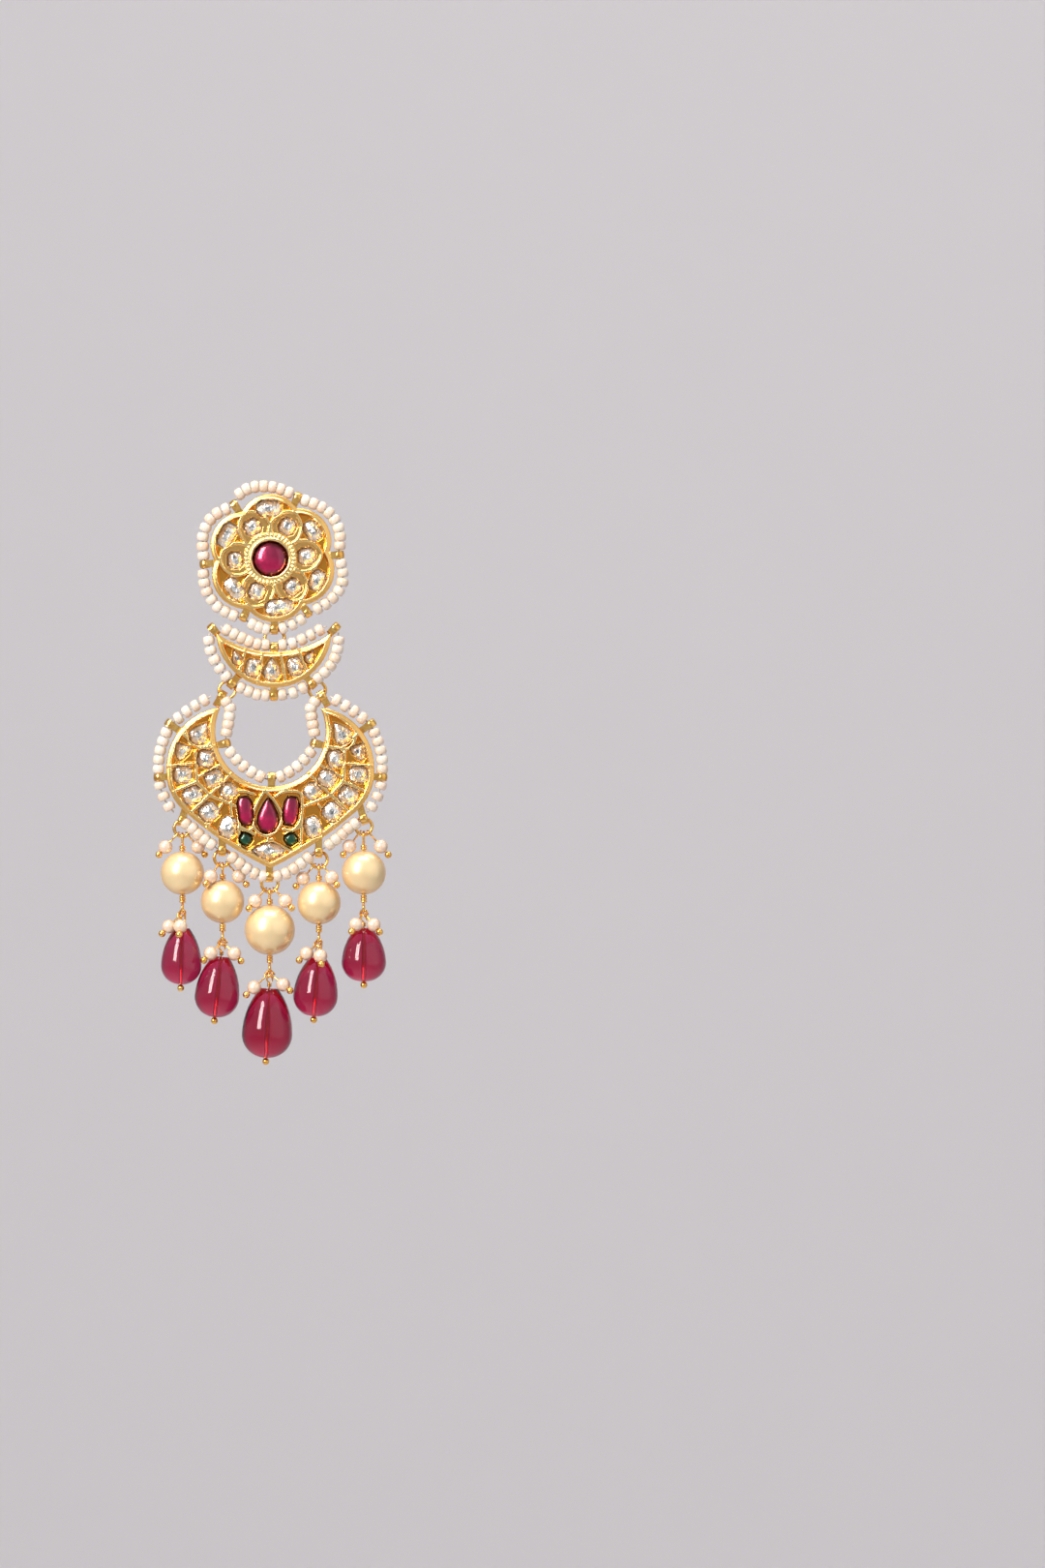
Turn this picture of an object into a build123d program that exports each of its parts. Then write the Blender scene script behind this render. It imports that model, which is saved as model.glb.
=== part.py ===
from build123d import *
import os
from collections import namedtuple
from math import atan2, cos, degrees, hypot, radians, sin, tan

# Chandbali earring in three tiers: a twelve-petal flower that pins to the ear,
# a small crescent under it, and a large moon-shaped pendant with five pearl
# and teardrop strands. Sizes are in millimetres, +Z is up and the front faces
# -Y. The origin is the centre of the flower's back face, where the ear sits.

# Metal
PLATE_DEPTH = 3.1
PANEL_DEPTH = 2.5
PETAL_DEPTH = 2.9
RIM_WIDTH = 0.55
WALL_WIDTH = 0.5
POCKET_FLOOR = 1.1

# Stones
SETTING_GAP = 0.12
STONE_BASE = POCKET_FLOOR + SETTING_GAP
GIRDLE_DEPTH = 0.75
CROWN_DEPTH = 0.65
CROWN_SLOPE = 38
RUBY_RISE = 0.55

# Strings of seed beads, drawn as tubes of the beads' diameter
BEAD_RADIUS = 1.08
THREAD_DEPTH = 2.25
STRING_GAP = 0.15

# Strap loops on the plates' edges: pegs carry a thread, eyes carry a ring too
PEG_WIDTH = 1.2
PEG_DEPTH = 1.9
PEG_TIP = 0.95
THREAD_HOLE = 0.5
EYE_WALL = 0.42
EYE_DEPTH = 2.85
EYE_HOLE_DEPTH = 2.29
EYE_CORNER = 0.4

# Jump rings lie in one plane behind the seed beads
RING_DEPTH = 0.75
LINK_RADIUS = 1.69
SIDE_RADIUS = 1.42
STRAND_RADIUS = 1.42
LINK_WIRE = 0.3
RING_WIRE = 0.28
LINK_X = 0.67
LINK_Z = -13.66

# Ear post
POST_RADIUS = 0.45
POST_LENGTH = 11.0
PAD_RADIUS = 2.6
PAD_THICKNESS = 0.8

# Wire of the strands
CORE_WIRE = 0.2
PIN_WIRE = 0.15
WRAP_BITE = 0.04
EYE_END_GAP = 0.02
EYE_END_BEND = 0.15
DRILL_RADIUS = 0.34
SMALL_PEARL = 1.2
SMALL_DRILL = 0.27
PIN_BALL = 0.6
DROP_FALL = 5.75

os.makedirs("parts", exist_ok=True)


def face_plane(depth=0.0):
    """Front-facing plane at a depth from the back face, with Z as its Y."""
    return Plane.XZ.offset(depth)


def on_face(x, z, depth=0.0):
    """Point of the front view at a depth from the back face."""
    return (x, -depth, z)


def polar(radius, angle, centre=(0, 0)):
    """Point of the front view at a radius and an angle in degrees."""
    turn = radians(angle)
    return (centre[0] + radius * cos(turn), centre[1] + radius * sin(turn))


# Outlines of cut stones in unit size, each with eight corners or more
OUTLINES = {
    "cushion": [
        (1, 0.5), (0.6, 1), (-0.6, 1), (-1, 0.5),
        (-1, -0.5), (-0.6, -1), (0.6, -1), (1, -0.5),
    ],
    "round": [polar(1, 30 * corner) for corner in range(12)],
    "pear": [
        (0, 1), (-0.45, 0.6), (-0.85, 0.1), (-1, -0.4), (-0.6, -0.88),
        (0, -1), (0.6, -0.88), (1, -0.4), (0.85, 0.1), (0.45, 0.6),
    ],
    "marquise": [
        (1, 0), (0.7, 0.55), (0.25, 0.95), (-0.25, 0.95), (-0.7, 0.55),
        (-1, 0), (-0.7, -0.55), (-0.25, -0.95), (0.25, -0.95), (0.7, -0.55),
    ],
    "shield": [
        (0.8, 1), (-0.8, 1), (-1, 0.75), (-0.9, 0.1), (-0.4, -0.75),
        (0, -1), (0.4, -0.75), (0.9, 0.1), (1, 0.75),
    ],
}

Stone = namedtuple("Stone", "shape x z width height turn")
Peg = namedtuple("Peg", "x z angle root")
Eye = namedtuple("Eye", "x z angle root slack")
Wall = namedtuple("Wall", "x1 z1 x2 z2")
Lobe = namedtuple("Lobe", "tip_angle tip_radius notch_angle notch_radius")
Strand = namedtuple("Strand", "x z pearl_fall pearl_radius drop_radius drop_height lean")
HeadPin = namedtuple("HeadPin", "strand angle forward shift reach tip")


def mirrored(stones, axis=0.0):
    """The stones of both sides, from those on the right of an upright axis."""
    left = [
        stone._replace(x=2 * axis - stone.x, turn=-stone.turn)
        for stone in stones
    ]
    return stones + left


def outline_points(stone, margin):
    """Corners of a stone's outline, grown by a margin."""
    wide = stone.width / 2 + margin
    high = stone.height / 2 + margin
    return [(wide * x, high * y) for x, y in OUTLINES[stone.shape]]


def stone_sketch(stone, depth, margin=0.0):
    """Outline of one stone, in its place, at a depth."""
    with BuildSketch(face_plane(depth)) as sketch:
        with Locations(Location((stone.x, stone.z), stone.turn)):
            Polygon(*outline_points(stone, margin), align=None)
    return sketch.sketch


def cut_pockets(stones):
    """Cut a flat-bottomed pocket for each stone into the active plate."""
    for stone in stones:
        mouth = stone_sketch(stone, POCKET_FLOOR, SETTING_GAP)
        extrude(mouth, amount=PLATE_DEPTH, mode=Mode.SUBTRACT)


def cut_stones(stones, rise=0.0):
    """Add each stone: a straight girdle under a sloping crown and a table."""
    for stone in stones:
        girdle = GIRDLE_DEPTH + rise
        extrude(stone_sketch(stone, STONE_BASE), amount=girdle)
        crown = stone_sketch(stone, STONE_BASE + girdle)
        extrude(crown, amount=CROWN_DEPTH, taper=CROWN_SLOPE)


def edge_plane(x, z, angle):
    """Plane whose X leaves the plate's edge and whose Y goes to the front."""
    turn = radians(angle)
    return Plane(
        origin=on_face(x, z),
        x_dir=(cos(turn), 0, sin(turn)),
        z_dir=(sin(turn), 0, -cos(turn)),
    )


def add_pegs(pegs):
    """Add strap loops for the thread, each drilled along the plate's edge."""
    for peg in pegs:
        with BuildSketch(edge_plane(peg.x, peg.z, peg.angle)) as side:
            with Locations(((PEG_TIP - peg.root) / 2, THREAD_DEPTH)):
                SlotOverall(PEG_TIP + peg.root, PEG_DEPTH)
            with Locations((0, THREAD_DEPTH)):
                Circle(THREAD_HOLE, mode=Mode.SUBTRACT)
        extrude(side.sketch, amount=PEG_WIDTH / 2, both=True)


def add_eyes(eyes, wire):
    """Add deeper strap loops, each round a jump ring's wire and a thread."""
    for eye in eyes:
        half_hole = wire + eye.slack
        tip = half_hole + EYE_WALL
        middle = PLATE_DEPTH / 2 - 0.1
        with BuildSketch(edge_plane(eye.x, eye.z, eye.angle)) as side:
            with Locations(((tip - eye.root) / 2, middle)):
                RectangleRounded(tip + eye.root, EYE_DEPTH, EYE_CORNER)
            with Locations((0, middle)):
                RectangleRounded(
                    2 * half_hole, EYE_HOLE_DEPTH, EYE_CORNER, mode=Mode.SUBTRACT
                )
        extrude(side.sketch, amount=PEG_WIDTH / 2, both=True)


def add_walls(walls, outline):
    """Add thin raised walls between the settings, kept within the outline."""
    with BuildSketch(face_plane(PANEL_DEPTH)) as lines:
        for wall in walls:
            with BuildLine() as run:
                Line((wall.x1, wall.z1), (wall.x2, wall.z2))
            trace(run.line, line_width=WALL_WIDTH)
        add(outline, mode=Mode.INTERSECT)
    extrude(lines.sketch, amount=PLATE_DEPTH - PANEL_DEPTH)


def add_plate(outline):
    """Add a panel with a raised rim along its whole outline."""
    with BuildSketch(face_plane()) as panel:
        add(outline)
    extrude(panel.sketch, amount=PANEL_DEPTH)
    with BuildSketch(face_plane(PANEL_DEPTH)) as rim:
        add(outline)
        offset(outline, amount=-RIM_WIDTH, mode=Mode.SUBTRACT)
    extrude(rim.sketch, amount=PLATE_DEPTH - PANEL_DEPTH)


def trimmed_end(corner, inner, peg_angle):
    """End of a string beside a peg, clear of the peg's flank."""
    run = atan2(inner[1] - corner[1], inner[0] - corner[0])
    skew = abs(sin(run - radians(peg_angle + 90)))
    square = max(abs(cos(run - radians(peg_angle + 90))), 0.5)
    back = (PEG_WIDTH / 2 + STRING_GAP + BEAD_RADIUS * skew) / square
    return (corner[0] + back * cos(run), corner[1] + back * sin(run))


def bend_radii(points):
    """Radius at each inner point, as large as its two runs allow."""
    radii = []
    for before, here, after in zip(points, points[1:], points[2:]):
        first = Vector(here[0] - before[0], here[1] - before[1])
        second = Vector(after[0] - here[0], after[1] - here[1])
        turn = radians(first.get_angle(second))
        shorter = min(first.length, second.length)
        radii.append(0.45 * shorter / tan(turn / 2))
    return radii


def add_string(start, via, end):
    """Add a tube of beads from one peg to the next through the via points."""
    first = trimmed_end((start.x, start.z), via[0], start.angle)
    last = trimmed_end((end.x, end.z), via[-1], end.angle)
    points = [first, *via, last]
    with BuildLine(face_plane(THREAD_DEPTH)) as path:
        if len(points) > 2:
            route = FilletPolyline(*points, radius=bend_radii(points))
        else:
            route = Line(*points)
    with BuildSketch(Plane(origin=route @ 0, z_dir=route % 0)) as section:
        Circle(BEAD_RADIUS)
    sweep(section.sketch, path=path.line)


def add_ring(x, z, radius, wire):
    """Add a closed jump ring that lies in the plane of the front view."""
    with Locations(Plane(origin=on_face(x, z, RING_DEPTH), z_dir=(0, -1, 0))):
        Torus(radius, wire)


def bent_wire(corners, radii, wire):
    """Add one round wire from the first point through rounded corners to the last."""
    with BuildLine() as path:
        route = FilletPolyline(*corners, radius=radii)
    with BuildSketch(Plane(origin=route @ 0, z_dir=route % 0)) as section:
        Circle(wire)
    sweep(section.sketch, path=path.line)


def wire_eye(plane, length, half_width, wire, stem_length):
    """Add a stem that comes up the plane's Y axis and bends into a long eye."""
    foot = -length - half_width
    gap = EYE_END_GAP + 2.1 * wire
    outline = [
        (0, foot - stem_length),
        (0, foot),
        (half_width, foot + half_width),
        (half_width, half_width),
        (-half_width, half_width),
        (-half_width, foot + half_width),
        (-gap, foot + gap),
    ]
    tight = 0.8 * wire + 0.1
    round_top = 0.97 * half_width
    corners = [plane.from_local_coords(Vector(x, y, 0)) for x, y in outline]
    bent_wire(corners, [tight, tight, round_top, round_top, EYE_END_BEND], wire)


def wrap(top, down, turns, wire):
    """Add turns of wire side by side round a stem, from a point downwards."""
    for turn in range(turns):
        centre = top + down * (wire + turn * (2 * wire + WRAP_BITE))
        with Locations(Plane(origin=centre, z_dir=down)):
            Torus(2 * wire - WRAP_BITE, wire)


# Flower: six round lobes, with six pointed petals laid over their notches
BEZEL_RADIUS = 4.4
RUBY_DIAMETER = 6.1
PETAL_HALF_ANGLE = 29
PETAL_SIDE_ANGLE = 20
PETAL_SIDE_RADIUS = 7.3
LOBES = [
    Lobe(-145, 10.8, -114, 9.4),
    Lobe(-84, 10.9, -54, 9.7),
    Lobe(-24, 11.3, 7, 10.2),
    Lobe(35, 11.3, 62, 9.8),
    Lobe(91, 11.1, 121, 9.4),
    Lobe(151, 10.8, 182.5, 9.5),
]
PETAL_TIPS = [(117.5, 9.0), (62.5, 9.0), (5, 8.9), (-51, 8.8), (-111, 8.8), (181, 8.6)]
FLOWER_RUBY = Stone("round", 0, 0, RUBY_DIAMETER, RUBY_DIAMETER, 0)
OUTER_STONES = [
    Stone("cushion", -0.3, 8.7, 4.3, 2.8, 0),
    Stone("cushion", 7.2, 4.8, 3.7, 2.6, -56),
    Stone("cushion", 8.0, -3.7, 3.7, 2.6, 65),
    Stone("cushion", 1.5, -8.2, 4.9, 2.7, 6),
    Stone("cushion", -6.2, -5.1, 4.2, 2.6, -50),
    Stone("cushion", -7.5, 4.1, 4.4, 2.7, 60),
]
INNER_STONES = [
    Stone("cushion", -3.1, 5.5, 2.9, 2.8, 28),
    Stone("cushion", 2.9, 5.6, 2.9, 2.8, -28),
    Stone("cushion", 6.2, 0.5, 2.9, 3.0, -85),
    Stone("cushion", 3.8, -4.8, 2.9, 2.8, 38),
    Stone("cushion", -2.3, -5.6, 2.9, 2.8, -22),
    Stone("cushion", -6.1, -0.2, 2.9, 2.6, 90),
]
FLOWER_PEGS = [
    Peg(-6.1, 9.2, 124, 2.0),
    Peg(4.6, 10.5, 66, 2.0),
    Peg(11.7, 0.7, 5, 2.2),
    Peg(6.3, -9.1, -55, 2.0),
    Peg(-4.5, -9.8, -115, 2.0),
    Peg(-11.2, -0.9, 186, 2.2),
]
FLOWER_EYE = Eye(LINK_X, LINK_Z + LINK_RADIUS, -90, 2.2, 0.28)

with BuildSketch() as flower_outline:
    with BuildLine():
        for before, lobe in zip([LOBES[-1]] + LOBES[:-1], LOBES):
            ThreePointArc(
                polar(before.notch_radius, before.notch_angle),
                polar(lobe.tip_radius, lobe.tip_angle),
                polar(lobe.notch_radius, lobe.notch_angle),
            )
    make_face()

with BuildPart() as flower_plate:
    add_plate(flower_outline.sketch)
    with BuildSketch(face_plane(PANEL_DEPTH)) as petals:
        for tip_angle, tip_radius in PETAL_TIPS:
            with BuildLine():
                for side in (-1, 1):
                    ThreePointArc(
                        polar(BEZEL_RADIUS - 0.3, tip_angle + side * PETAL_HALF_ANGLE),
                        polar(PETAL_SIDE_RADIUS, tip_angle + side * PETAL_SIDE_ANGLE),
                        polar(tip_radius, tip_angle),
                    )
                Line(
                    polar(BEZEL_RADIUS - 0.3, tip_angle - PETAL_HALF_ANGLE),
                    polar(BEZEL_RADIUS - 0.3, tip_angle + PETAL_HALF_ANGLE),
                )
            make_face()
    extrude(amount=PETAL_DEPTH - PANEL_DEPTH)
    with BuildSketch(face_plane(PANEL_DEPTH)):
        Circle(BEZEL_RADIUS)
    extrude(amount=PLATE_DEPTH - PANEL_DEPTH)
    add_pegs(FLOWER_PEGS)
    add_eyes([FLOWER_EYE], LINK_WIRE)
    cut_pockets([FLOWER_RUBY] + OUTER_STONES + INNER_STONES)
flower_plate.part.label = "flower_plate"

with BuildPart() as flower_ruby:
    cut_stones([FLOWER_RUBY], RUBY_RISE)
flower_ruby.part.label = "flower_ruby"

with BuildPart() as flower_outer_stones:
    cut_stones(OUTER_STONES)
flower_outer_stones.part.label = "flower_outer_stones"

with BuildPart() as flower_inner_stones:
    cut_stones(INNER_STONES)
flower_inner_stones.part.label = "flower_inner_stones"

with BuildPart() as ear_post:
    with BuildSketch(Plane.XZ):
        Circle(PAD_RADIUS)
    extrude(amount=-PAD_THICKNESS)
    with BuildSketch(Plane.XZ):
        Circle(POST_RADIUS)
    extrude(amount=-POST_LENGTH)
    fillet(ear_post.faces().sort_by(Axis.Y)[-1].edges(), POST_RADIUS * 0.8)
ear_post.part.label = "ear_post"

# Each string runs from the peg before it, through its points, to the next peg
FLOWER_STRINGS = [
    [(-5.0, 11.5), (-2.6, 12.4), (0.7, 12.3), (3.5, 11.4)],
    [(6.3, 9.9), (9.3, 8.6), (11.4, 6.1), (12.0, 3.4)],
    [(12.4, -2.0), (12.2, -4.6), (10.3, -7.1), (7.8, -8.8)],
    [(5.0, -10.6), (2.9, -11.7)],
    [(-1.3, -12.0), (-3.4, -11.2)],
    [(-6.3, -9.7), (-9.1, -8.2), (-11.0, -5.5), (-11.5, -2.8)],
    [(-11.6, 1.2), (-11.5, 4.4), (-10.0, 7.2), (-7.6, 8.7)],
]
FLOWER_ROUND = [
    FLOWER_PEGS[0], FLOWER_PEGS[1], FLOWER_PEGS[2], FLOWER_PEGS[3],
    FLOWER_EYE, FLOWER_PEGS[4], FLOWER_PEGS[5], FLOWER_PEGS[0],
]
with BuildPart() as flower_beads:
    for start, via, end in zip(FLOWER_ROUND, FLOWER_STRINGS, FLOWER_ROUND[1:]):
        add_string(start, via, end)
flower_beads.part.label = "flower_beads"

with BuildPart() as link_ring:
    add_ring(LINK_X, LINK_Z, LINK_RADIUS, LINK_WIRE)
link_ring.part.label = "link_ring"

# Small crescent between two arcs that meet at the horns
CRESCENT_X = 0.6
LOWER_ARC_RADIUS = 9.9
LOWER_ARC_Z = -12.2
UPPER_ARC_RADIUS = 16.5
UPPER_ARC_Z = 0.5
CRESCENT_STONES = [
    Stone("pear", -5.8, -17.0, 2.0, 2.8, 25),
    Stone("cushion", -3.0, -18.7, 2.7, 3.2, -10),
    Stone("pear", 0.2, -18.9, 3.2, 4.0, 0),
    Stone("cushion", 4.2, -18.5, 2.7, 3.2, 12),
    Stone("pear", 6.8, -16.8, 1.9, 2.6, -28),
]
CRESCENT_WALLS = [
    Wall(-4.2, -15.6, -5.3, -19.4),
    Wall(-1.2, -15.8, -2.2, -21.4),
    Wall(1.7, -15.8, 2.7, -21.4),
    Wall(4.8, -15.4, 6.3, -19.2),
]
SIDE_RINGS = [(-7.5, -22.5), (8.0, -22.5)]
SIDE_ANGLES = [-130, -50]
CRESCENT_HORNS = [Peg(-9.9, -12.0, 132, 1.4), Peg(11.1, -11.9, 46, 1.5)]
CRESCENT_TOP = Eye(LINK_X, LINK_Z - LINK_RADIUS, 90, 1.5, 0.28)
TOP_THREAD = Peg(LINK_X, -14.8, 90, 0)
CRESCENT_FOOT = Peg(0.6, -23.4, -90, 1.9)
CRESCENT_SIDES = [
    Eye(*polar(SIDE_RADIUS, angle + 180, centre), angle, 1.8, 0.22)
    for centre, angle in zip(SIDE_RINGS, SIDE_ANGLES)
]

with BuildSketch() as crescent_outline:
    with Locations((CRESCENT_X, LOWER_ARC_Z)):
        Circle(LOWER_ARC_RADIUS)
    with Locations((CRESCENT_X, UPPER_ARC_Z)):
        Circle(UPPER_ARC_RADIUS, mode=Mode.SUBTRACT)

with BuildPart() as crescent_plate:
    add_plate(crescent_outline.sketch)
    add_walls(CRESCENT_WALLS, crescent_outline.sketch)
    add_pegs(CRESCENT_HORNS + [CRESCENT_FOOT])
    add_eyes([CRESCENT_TOP], LINK_WIRE)
    add_eyes(CRESCENT_SIDES, RING_WIRE)
    cut_pockets(CRESCENT_STONES)
crescent_plate.part.label = "crescent_plate"

with BuildPart() as crescent_stones:
    cut_stones(CRESCENT_STONES)
crescent_stones.part.label = "crescent_stones"

CRESCENT_STRINGS = [
    [(-8.0, -11.9), (-5.3, -13.4), (-2.3, -14.6)],
    [(3.5, -14.6), (6.3, -13.4), (9.0, -11.9)],
    [(11.7, -14.3), (11.1, -16.9), (9.8, -19.0)],
    [(4.9, -22.5), (3.3, -23.2)],
    [(-2.2, -23.3), (-4.9, -22.2)],
    [(-8.8, -18.7), (-10.1, -16.3), (-10.6, -14.3)],
]
CRESCENT_ROUND = [
    CRESCENT_HORNS[0], TOP_THREAD, CRESCENT_HORNS[1], CRESCENT_SIDES[1],
    CRESCENT_FOOT, CRESCENT_SIDES[0], CRESCENT_HORNS[0],
]
with BuildPart() as crescent_beads:
    for start, via, end in zip(CRESCENT_ROUND, CRESCENT_STRINGS, CRESCENT_ROUND[1:]):
        add_string(start, via, end)
crescent_beads.part.label = "crescent_beads"

for side, centre in zip(("left", "right"), SIDE_RINGS):
    with BuildPart() as side_ring:
        add_ring(*centre, SIDE_RADIUS, RING_WIRE)
    side_ring.part.label = side + "_ring"
    export_step(side_ring.part, "parts/" + side + "_ring.step")

# Moon-shaped pendant: an outline pointed at the foot round a round opening
PENDANT_WIDTH = 35.6
HORN_Z = -25.7
HORN_OUTER = 9.6
SHOULDER = (16.1, -30.2)
FLANK_Z = -35.5
HIP = (14.2, -43.8)
LOWER_SIDE = (7.5, -48.9)
FOOT_Z = -53.1
OPENING_RADIUS = 9.55
OPENING_Z = -29.6
LOTUS_X = -0.4
PENDANT_OUTER_STONES = mirrored([
    Stone("pear", 12.1, -29.9, 3.3, 4.4, 35),
    Stone("shield", 15.3, -33.3, 2.7, 3.0, 20),
    Stone("cushion", 15.1, -37.0, 3.2, 3.0, 0),
    Stone("cushion", 13.4, -40.6, 3.4, 3.1, -22),
    Stone("cushion", 10.6, -43.5, 3.4, 3.2, -42),
    Stone("cushion", 7.3, -46.1, 3.0, 3.7, 20),
])
PENDANT_INNER_STONES = mirrored([
    Stone("cushion", 11.1, -34.3, 3.0, 3.1, 10),
    Stone("cushion", 9.7, -37.7, 3.2, 3.0, -25),
    Stone("cushion", 7.2, -39.9, 2.9, 2.9, -45),
])
SIDE_RUBIES = [
    Stone("cushion", -4.3, -43.3, 2.7, 5.0, 8),
    Stone("cushion", 3.5, -43.3, 2.7, 5.0, -8),
]
CENTRE_RUBY = Stone("pear", LOTUS_X, -44.0, 3.9, 6.4, 0)
EMERALDS = [
    Stone("cushion", -4.3, -48.1, 2.2, 2.1, -35),
    Stone("cushion", 3.5, -48.1, 2.2, 2.1, 35),
]
FOOT_STONE = Stone("marquise", -0.3, -50.1, 6.0, 3.0, 0)
RIGHT_WALLS = [
    Wall(8.4, -35.3, 12.6, -37.6),
    Wall(6.6, -36.8, 10.8, -41.0),
    Wall(13.4, -35.2, 17.6, -35.6),
    Wall(12.4, -38.2, 16.6, -40.0),
    Wall(10.4, -40.4, 13.6, -43.6),
    Wall(8.3, -42.2, 11.2, -46.5),
    Wall(12.8, -33.2, 12.6, -38.2),
    Wall(12.6, -38.2, 10.4, -40.6),
    Wall(10.4, -40.6, 5.6, -42.6),
    Wall(9.2, -32.1, 12.2, -32.6),
    Wall(12.2, -32.6, 14.9, -30.2),
    Wall(5.6, -42.6, 5.2, -46.0),
    Wall(5.2, -46.0, 2.6, -47.3),
    Wall(5.4, -46.0, 5.2, -49.8),
    Wall(3.9, -50.4, LOTUS_X, -48.1),
]
PENDANT_PEGS = [
    Peg(17.2, -28.4, 35, 2.3),
    Peg(19.1, -37.5, -3, 2.2),
]
INNER_PEG = Peg(7.8, -31.7, 166, 2.0)
INNER_FOOT = Peg(0.2, -37.6, 90, 2.2)
HORN_EYES = [
    Eye(*polar(SIDE_RADIUS, angle, centre), lean, 2.0, 0.34)
    for centre, angle, lean in zip(SIDE_RINGS, SIDE_ANGLES, (60, 120))
]
STRANDS = [
    Strand(-15.2, -46.3, 7.7, 3.75, 3.5, 9.7, -1.5),
    Strand(-8.3, -51.4, 7.5, 3.75, 3.85, 10.5, -6),
    Strand(-0.17, -55.85, 7.9, 4.35, 4.35, 12.0, -2.7),
    Strand(8.3, -51.7, 7.4, 3.75, 3.85, 10.1, -4),
    Strand(16.0, -46.0, 7.9, 3.8, 3.85, 9.2, 0),
]
STRAND_ANGLES = [-106, -90, -90, -90, -74]
STRAND_ROOTS = [3.0, 2.4, 2.2, 2.4, 3.0]
STRAND_EYES = [
    Eye(strand.x, strand.z + STRAND_RADIUS, angle, root, 0.37)
    for strand, angle, root in zip(STRANDS, STRAND_ANGLES, STRAND_ROOTS)
]

with BuildSketch() as pendant_outline:
    with BuildLine() as right_half:
        ThreePointArc((HORN_OUTER, HORN_Z), SHOULDER, (PENDANT_WIDTH / 2, FLANK_Z))
        ThreePointArc((PENDANT_WIDTH / 2, FLANK_Z), (17.1, -40.1), HIP)
        ThreePointArc(HIP, LOWER_SIDE, (0, FOOT_Z))
        Line((0, FOOT_Z), (0, HORN_Z))
        Line((0, HORN_Z), (HORN_OUTER, HORN_Z))
    make_face()
    mirror(about=Plane.YZ)
    with Locations((0, OPENING_Z)):
        Circle(OPENING_RADIUS, mode=Mode.SUBTRACT)


def both_sides(walls):
    """The walls of both sides, from those on the right."""
    left = [Wall(-wall.x1, wall.z1, -wall.x2, wall.z2) for wall in walls]
    return walls + left


def other_side(pegs):
    """Pegs of the left side, from those on the right."""
    return [peg._replace(x=-peg.x, angle=180 - peg.angle) for peg in pegs]


PEGS_LEFT = other_side(PENDANT_PEGS)
INNER_PEG_LEFT = other_side([INNER_PEG])[0]

with BuildPart() as pendant_plate:
    add_plate(pendant_outline.sketch)
    add_walls(both_sides(RIGHT_WALLS), pendant_outline.sketch)
    add_pegs(PENDANT_PEGS + PEGS_LEFT + [INNER_PEG, INNER_PEG_LEFT, INNER_FOOT])
    add_eyes(HORN_EYES + STRAND_EYES, RING_WIRE)
    cut_pockets(PENDANT_OUTER_STONES + PENDANT_INNER_STONES)
    cut_pockets(SIDE_RUBIES + [CENTRE_RUBY] + EMERALDS + [FOOT_STONE])
pendant_plate.part.label = "pendant_plate"

with BuildPart() as pendant_outer_stones:
    cut_stones(PENDANT_OUTER_STONES)
pendant_outer_stones.part.label = "pendant_outer_stones"

with BuildPart() as pendant_inner_stones:
    cut_stones(PENDANT_INNER_STONES)
pendant_inner_stones.part.label = "pendant_inner_stones"

for name, stone in (
    ("ruby_left", SIDE_RUBIES[0]),
    ("ruby_right", SIDE_RUBIES[1]),
    ("ruby_centre", CENTRE_RUBY),
    ("emerald_left", EMERALDS[0]),
    ("emerald_right", EMERALDS[1]),
    ("foot_stone", FOOT_STONE),
):
    with BuildPart() as gem:
        cut_stones([stone])
    gem.part.label = name
    export_step(gem.part, "parts/" + name + ".step")

OUTER_STRINGS = [
    [(11.0, -24.0), (13.8, -25.8), (15.9, -27.4)],
    [(18.2, -30.6), (19.0, -33.1), (19.25, -35.5)],
    [(18.9, -39.3), (18.0, -41.7), (16.8, -43.4)],
    [(13.7, -46.0), (12.1, -47.5), (10.3, -49.0)],
    [(6.5, -51.3), (4.2, -53.1), (1.9, -54.4)],
]
INNER_STRINGS = [
    [(7.0, -25.2), (7.1, -27.4), (7.5, -29.6)],
    [(6.4, -33.9), (4.2, -36.0), (2.0, -37.3)],
]
RIGHT_ROUND = [
    HORN_EYES[1], PENDANT_PEGS[0], PENDANT_PEGS[1],
    STRAND_EYES[4], STRAND_EYES[3], STRAND_EYES[2],
]
LEFT_ROUND = [
    HORN_EYES[0], PEGS_LEFT[0], PEGS_LEFT[1],
    STRAND_EYES[0], STRAND_EYES[1], STRAND_EYES[2],
]


def flipped(via):
    """Points of a string on the left side, from those on the right."""
    return [(-x, z) for x, z in via]


with BuildPart() as pendant_outer_beads:
    for start, via, end in zip(RIGHT_ROUND, OUTER_STRINGS, RIGHT_ROUND[1:]):
        add_string(start, via, end)
    for start, via, end in zip(LEFT_ROUND, OUTER_STRINGS, LEFT_ROUND[1:]):
        add_string(start, flipped(via), end)
pendant_outer_beads.part.label = "pendant_outer_beads"

with BuildPart() as pendant_inner_beads:
    add_string(HORN_EYES[1], INNER_STRINGS[0], INNER_PEG)
    add_string(INNER_PEG, INNER_STRINGS[1], INNER_FOOT)
    add_string(HORN_EYES[0], flipped(INNER_STRINGS[0]), INNER_PEG_LEFT)
    add_string(INNER_PEG_LEFT, flipped(INNER_STRINGS[1]), INNER_FOOT)
pendant_inner_beads.part.label = "pendant_inner_beads"

for finished in (
    flower_plate, flower_ruby, flower_outer_stones, flower_inner_stones,
    flower_beads, ear_post, link_ring, crescent_plate, crescent_stones,
    crescent_beads, pendant_plate, pendant_outer_stones, pendant_inner_stones,
    pendant_outer_beads, pendant_inner_beads,
):
    export_step(finished.part, "parts/" + finished.part.label + ".step")

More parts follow.
